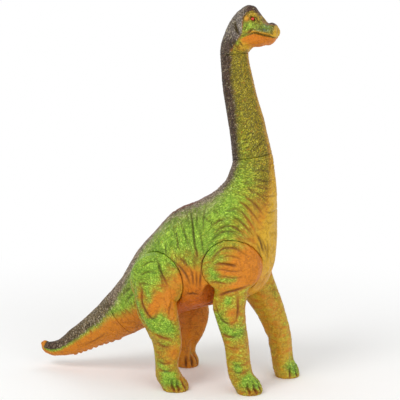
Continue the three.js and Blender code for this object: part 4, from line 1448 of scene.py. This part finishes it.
vinylFinish = {"Specular IOR Level": 0.22, "Coat Weight": 0.08, "Coat Roughness": 0.2}

# densities per m, and how far the wobble moves the pebbles in m
grainSizes = {
    "warp": 260.0, "wobble": 0.0016, "edge": 0.26,
    "patch": 75.0, "mottle": 210.0, "speck": 420.0, "web": 280.0, "webWidth": 0.035,
}

# the values between which each effect goes from none to full, or from one strength to another
effects = {
    "richByCover": (0.1, 0.6),
    "highByMottle": (0.3, 0.7, 0.72, 1.35),
    "rustByMottle": (0.48, 0.6),
    "caughtByTone": (0.42, 0.72),
    "caughtByHeight": (0.3, 0.7),
    "darkByTone": (0.05, 0.22, 1.0, 0.0),
    "darkByPatch": (0.4, 0.62, 0.15, 1.0),
    "paleByTone": (0.8, 0.95),
    "paleByHeight": (0.3, 0.8),
}

# slope and base of each effect that follows a value in a straight line
slopes = {
    "rich": (0.7, 0.3),
    "high": (0.8, 0.2),
    "highByTone": (0.35, 0.87),
    "washByTone": (0.8, 0.4),
    "caughtByGrey": (0.7, 0.3),
    "bumpByRich": (0.6, 0.4),
    "roughByPatch": (0.14, 0.26),
}

# the values that the skins carry for their paint
vinylMarks = (
    "stripe", "green", "olive", "warm", "deep", "grey", "wash", "ridge", "pit", "hollow", "crease",
)

# shares by which a mark or a part of the grain acts on the layers, and the middle that bare vinyl's contrast
# shrinks to
layers = {
    "hollow": 0.45, "middle": 0.55, "ridge": 0.75, "crease": 0.35, "pit": 0.4,
    "fineHeight": 0.7, "speckHeight": 0.4, "lineDepth": 0.5, "stripeRough": 0.16,
}

# coats in the order in which they are sprayed, and how much each one breaks up over the pebbles
coatBreaks = {"deep": 0.3, "olive": 0.5, "warm": 0.4, "green": 0.55}
stripeBreak = 0.8


def grainGroup(g):
    # fine moulded pebbles: their height, a tone for each, broad and narrow patches, specks and fine wrinkles
    outputs = ("Height", "Tone", "Patch", "Mottle", "Speck", "Line")
    inputs = [("Vector", "Vector", None), ("Density", "Float", 650.0)]
    tree, given, out = newGroup("pebbleGrain", "Shader", inputs, [(label, "Float") for label in outputs])
    vector = given["Vector"]
    shift = wobble(tree, noise(tree, vector, g["warp"], 2.0), g["wobble"])
    place = vectorMaths(tree, "ADD", vector, shift)
    height = ramp(tree, cells(tree, place, given["Density"])["Distance"], 0.0, g["edge"])
    colours = cells(tree, place, given["Density"], "F1")["Color"]
    tone = addNode(tree, "ShaderNodeSeparateColor", {0: colours}).outputs[0]
    patch = noise(tree, vector, g["patch"], 4.0, 0.6)["Fac"]
    mottle = noise(tree, vector, g["mottle"], 3.0, 0.65, 0.4)["Fac"]
    speck = noise(tree, vector, g["speck"], 2.0)["Fac"]
    line = band(tree, noise(tree, place, g["web"], 3.0, 0.6)["Fac"], 0.5, 0.0, g["webWidth"])
    for label, value in zip(outputs, (height, tone, patch, mottle, speck, line)):
        tree.links.new(value, out.inputs[label])
    return tree


def coatGroup():
    # one airbrushed coat: where it thins out it holds on some pebbles and misses others
    grey = (0.5, 0.5, 0.5, 1)
    tree, given, out = newGroup("airbrushCoat", "Shader", [
        ("Under", "Color", grey), ("Low", "Color", grey), ("High", "Color", grey), ("Mask", "Float", 0.0),
        ("Height", "Float", 0.5), ("Patch", "Float", 0.5), ("Tone", "Float", 0.5), ("Break", "Float", 0.5),
    ], [("Color", "Color"), ("Cover", "Float")])
    thin = times(tree, given["Mask"], maths(tree, "SUBTRACT", 1.0, given["Mask"]), 4.0, given["Break"])
    byTone = times(tree, maths(tree, "SUBTRACT", given["Tone"], 0.5), 0.3)
    drift = maths(tree, "MULTIPLY_ADD", maths(tree, "SUBTRACT", given["Patch"], 0.5), 2.6, byTone)
    cover = maths(tree, "MULTIPLY_ADD", drift, thin, given["Mask"], clamp=True)
    coat = mixed(tree, given["Height"], given["Low"], given["High"])
    tree.links.new(mixed(tree, cover, given["Under"], coat), out.inputs["Color"])
    tree.links.new(cover, out.inputs["Cover"])
    return tree


def sloped(tree, value, effect):
    return maths(tree, "MULTIPLY_ADD", value, *slopes[effect])


def eased(tree, value, effect):
    return ramp(tree, value, *effects[effect])


def readGrain(tree, key, grain):
    # the grain drawn out along both runs and blended by their share
    runs = []
    for run in ("flow", "arcs"):
        place = marked(tree, run, "Vector")
        place = strokePlace(tree, place, reliefs[key]["turn"], 1.0 / vinyls[key]["long"])
        strokes = addNode(tree, "ShaderNodeGroup", node_tree=grain)
        tree.links.new(place, strokes.inputs["Vector"])
        strokes.inputs["Density"].default_value = 1000.0 / vinyls[key]["grain"]
        runs.append(strokes.outputs)
    arcShare = marked(tree, "arcShare")
    return [ramp(tree, arcShare, 0.0, 1.0, runs[0][label], runs[1][label])
            for label in ("Height", "Tone", "Patch", "Mottle", "Speck", "Line")]


def vinylMaterial(key, grain, coat):
    settings = vinyls[key]
    coats = {layer: [paint(code) for code in codes] for layer, codes in coatPaints.items()}
    single = {layer: paint(code) for layer, code in touchPaints.items()}
    material, tree, shader = newMaterial(key + "Vinyl", vinylFinish)
    marks = {name: marked(tree, name) for name in vinylMarks}
    fine, tone, patch, mottle, speck, line = readGrain(tree, key, grain)
    painted = maths(tree, "MAXIMUM", maths(tree, "MAXIMUM", marks["green"], marks["olive"]), marks["stripe"])
    rich = sloped(tree, eased(tree, painted, "richByCover"), "rich")
    # pebble tops are painted lighter and their hollows and fine wrinkle lines darker, as painted highlight
    # and painted shade; tone and mottle vary it at random
    raised = maths(tree, "SUBTRACT", 1.0, times(tree, marks["hollow"], layers["hollow"]))
    high = times(tree, sloped(tree, fine, "high"), raised, sloped(tree, tone, "highByTone"),
                 eased(tree, mottle, "highByMottle"),
                 maths(tree, "SUBTRACT", 1.0, times(tree, line, settings["lines"])))
    middle = layers["middle"]
    high = maths(tree, "MULTIPLY_ADD", maths(tree, "SUBTRACT", high, middle), rich, middle, clamp=True)

    def layCoat(under, mask, low, top, breaking):
        values = {"Under": under, "Mask": mask, "Low": low, "High": top, "Height": high, "Patch": mottle,
                  "Tone": tone, "Break": breaking}
        node = addNode(tree, "ShaderNodeGroup", node_tree=coat)
        for label, value in values.items():
            if isinstance(value, bpy.types.NodeSocket):
                tree.links.new(value, node.inputs[label])
            else:
                node.inputs[label].default_value = value
        return node.outputs["Color"], node.outputs["Cover"]

    colour = mixed(tree, high, *coats["orange"])
    for layer, breaking in coatBreaks.items():
        colour, cover = layCoat(colour, marks[layer], *coats[layer], breaking)
    washes = mixed(tree, times(tree, high, tone, clamp=True), *(paint(code) for code in settings["wash"]))
    washed = times(tree, marks["wash"], sloped(tree, tone, "washByTone"), clamp=True)
    colour = mixed(tree, washed, colour, washes)
    rust = times(tree, band(tree, tone, 0.4, 0.04, 0.1), eased(tree, mottle, "rustByMottle"))
    colour = mixed(tree, times(tree, rust, rich, settings["rust"]), colour, single["rust"])
    stripes = [mixed(tree, marks["grey"], brown, paint(code))
               for brown, code in zip(coats["stripe"], settings["grey"])]
    colour, cover = layCoat(colour, marks["stripe"], *stripes, stripeBreak)
    # pale paint dragged over the tops of the stripe, single dark pebbles all over, and pale pebbles all over
    # as painted glints
    caught = times(tree, eased(tree, tone, "caughtByTone"), eased(tree, fine, "caughtByHeight"),
                   sloped(tree, marks["grey"], "caughtByGrey"), cover, settings["dryBrush"], raised)
    colour = mixed(tree, caught, colour, single["dryBrush"])
    colour = mixed(tree, times(tree, marks["ridge"], layers["ridge"]), colour, single["ridge"])
    dark = times(tree, eased(tree, tone, "darkByTone"), eased(tree, patch, "darkByPatch"))
    colour = mixed(tree, times(tree, dark, rich, settings["fleck"]), colour, single["fleck"])
    pale = times(tree, eased(tree, tone, "paleByTone"), eased(tree, fine, "paleByHeight"))
    colour = mixed(tree, times(tree, pale, rich, settings["glint"]), colour, single["glint"])
    # painted shade in the folds and creases; the pits also take the fleck colour
    sunk = maths(tree, "MAXIMUM", marks["pit"], times(tree, marks["crease"], layers["crease"]))
    colour = mixed(tree, sunk, colour, single["foldWash"], "MULTIPLY")
    colour = mixed(tree, times(tree, marks["pit"], layers["pit"]), colour, single["fleck"])
    tree.links.new(colour, shader.inputs["Base Color"])
    specks = times(tree, speck, layers["speckHeight"])
    height = maths(tree, "MULTIPLY_ADD", fine, layers["fineHeight"], specks)
    height = maths(tree, "SUBTRACT", height, times(tree, line, layers["lineDepth"]))
    addBump(tree, shader, times(tree, height, sloped(tree, rich, "bumpByRich")), settings["bump"])
    rough = sloped(tree, patch, "roughByPatch")
    rough = maths(tree, "MULTIPLY_ADD", marks["stripe"], layers["stripeRough"], rough)
    tree.links.new(rough, shader.inputs["Roughness"])
    return material


# eyes, in mm, and the hard joint plastic
eyes = {
    "radius": 2.1,
    "sink": 1.6,
    "iris": ("#A01A04", "#DE3E12"),
    "rim": "#4A1004",
    "rimFade": (0.35, 0.62),
    "streaks": 900.0,
    "finish": {"Roughness": 0.12, "Specular IOR Level": 0.4, "Coat Weight": 0.4, "Coat Roughness": 0.03},
}

jointPlastic = {
    "low": "#CFC9BB",
    "high": "#E2DDD0",
    "clouds": 160.0,
    "sparkle": 2600.0,
    "bump": 0.04,
    "finish": {"Roughness": 0.5},
}


def eyeMaterial(e):
    material, tree, shader = newMaterial("eyeGloss", e["finish"])
    streak = noise(tree, objectPlace(tree), e["streaks"], 3.0)["Fac"]
    colour = mixed(tree, streak, *(paint(code) for code in e["iris"]))
    tree.links.new(mixed(tree, marked(tree, "eyeRim"), colour, paint(e["rim"])), shader.inputs["Base Color"])
    return material


def addEyes(e):
    material = eyeMaterial(e)
    for name, place in eyePlaces.items():
        out = eyeDirection(place)
        centre = (Vector(place) - out * e["sink"]) * mm
        bm = bmesh.new()
        bmesh.ops.create_uvsphere(bm, u_segments=48, v_segments=32, radius=e["radius"] * mm)
        turn = out.to_track_quat("Z", "Y").to_matrix().to_4x4()
        bmesh.ops.transform(bm, matrix=Matrix.Translation(centre) @ turn, verts=bm.verts)
        mesh = bpy.data.meshes.new(name)
        bm.to_mesh(mesh)
        bm.free()
        mesh.polygons.foreach_set("use_smooth", [True] * len(mesh.polygons))
        across = (readPoints(mesh) * mm - np.array(centre)) @ np.array(out) / (e["radius"] * mm)
        storeValues(mesh, "eyeRim", 1 - smoothStep(across, *e["rimFade"]))
        mesh.materials.append(material)
        obj = addObject(name, mesh)
        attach(obj, "head")
        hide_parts("right_eye" if "right" in name else "left_eye")
    print("eyes set")


def jointMaterial(j):
    material, tree, shader = newMaterial("jointPlastic", j["finish"])
    place = objectPlace(tree)
    cloud = noise(tree, place, j["clouds"], 4.0)["Fac"]
    tree.links.new(mixed(tree, cloud, paint(j["low"]), paint(j["high"])), shader.inputs["Base Color"])
    addBump(tree, shader, noise(tree, place, j["sparkle"], 2.0)["Fac"], j["bump"])
    return material


addStudio(studio)
grain, coat, relief = grainGroup(grainSizes), coatGroup(), reliefTree()
vinylBy = {key: vinylMaterial(key, grain, coat) for key in vinyls}
skins = {}
for name, casting in castings.items():
    skins[name] = skin = voxelSkin(name, casting["voxel"])
    allow, pit = shapeSkin(name, skin)
    paintMasks(name, skin.data, allow, pit)
    key = "foreleg" if "Foreleg" in name else "hindleg" if "Hindleg" in name else name
    carveRelief(skin, relief, reliefs[key], vinylBy[key], casting.get("keep", 1.0))
for name in swings:
    easeSwing(skins["torso"].data, skins[name].data, name)
for name, casting in castings.items():
    skin = skins[name]
    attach(skin, casting["body"])
    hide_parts(casting["node"])
    print(name, "skin:", len(skin.data.polygons), "faces")
addEyes(eyes)
plastic = jointMaterial(jointPlastic)
for node, obj in frame["nodes"].items():
    if node.endswith(("_plug", "_socket")):
        obj.data.materials.clear()
        obj.data.materials.append(plastic)
print("joints set")

scene.view_settings.view_transform = "Standard"
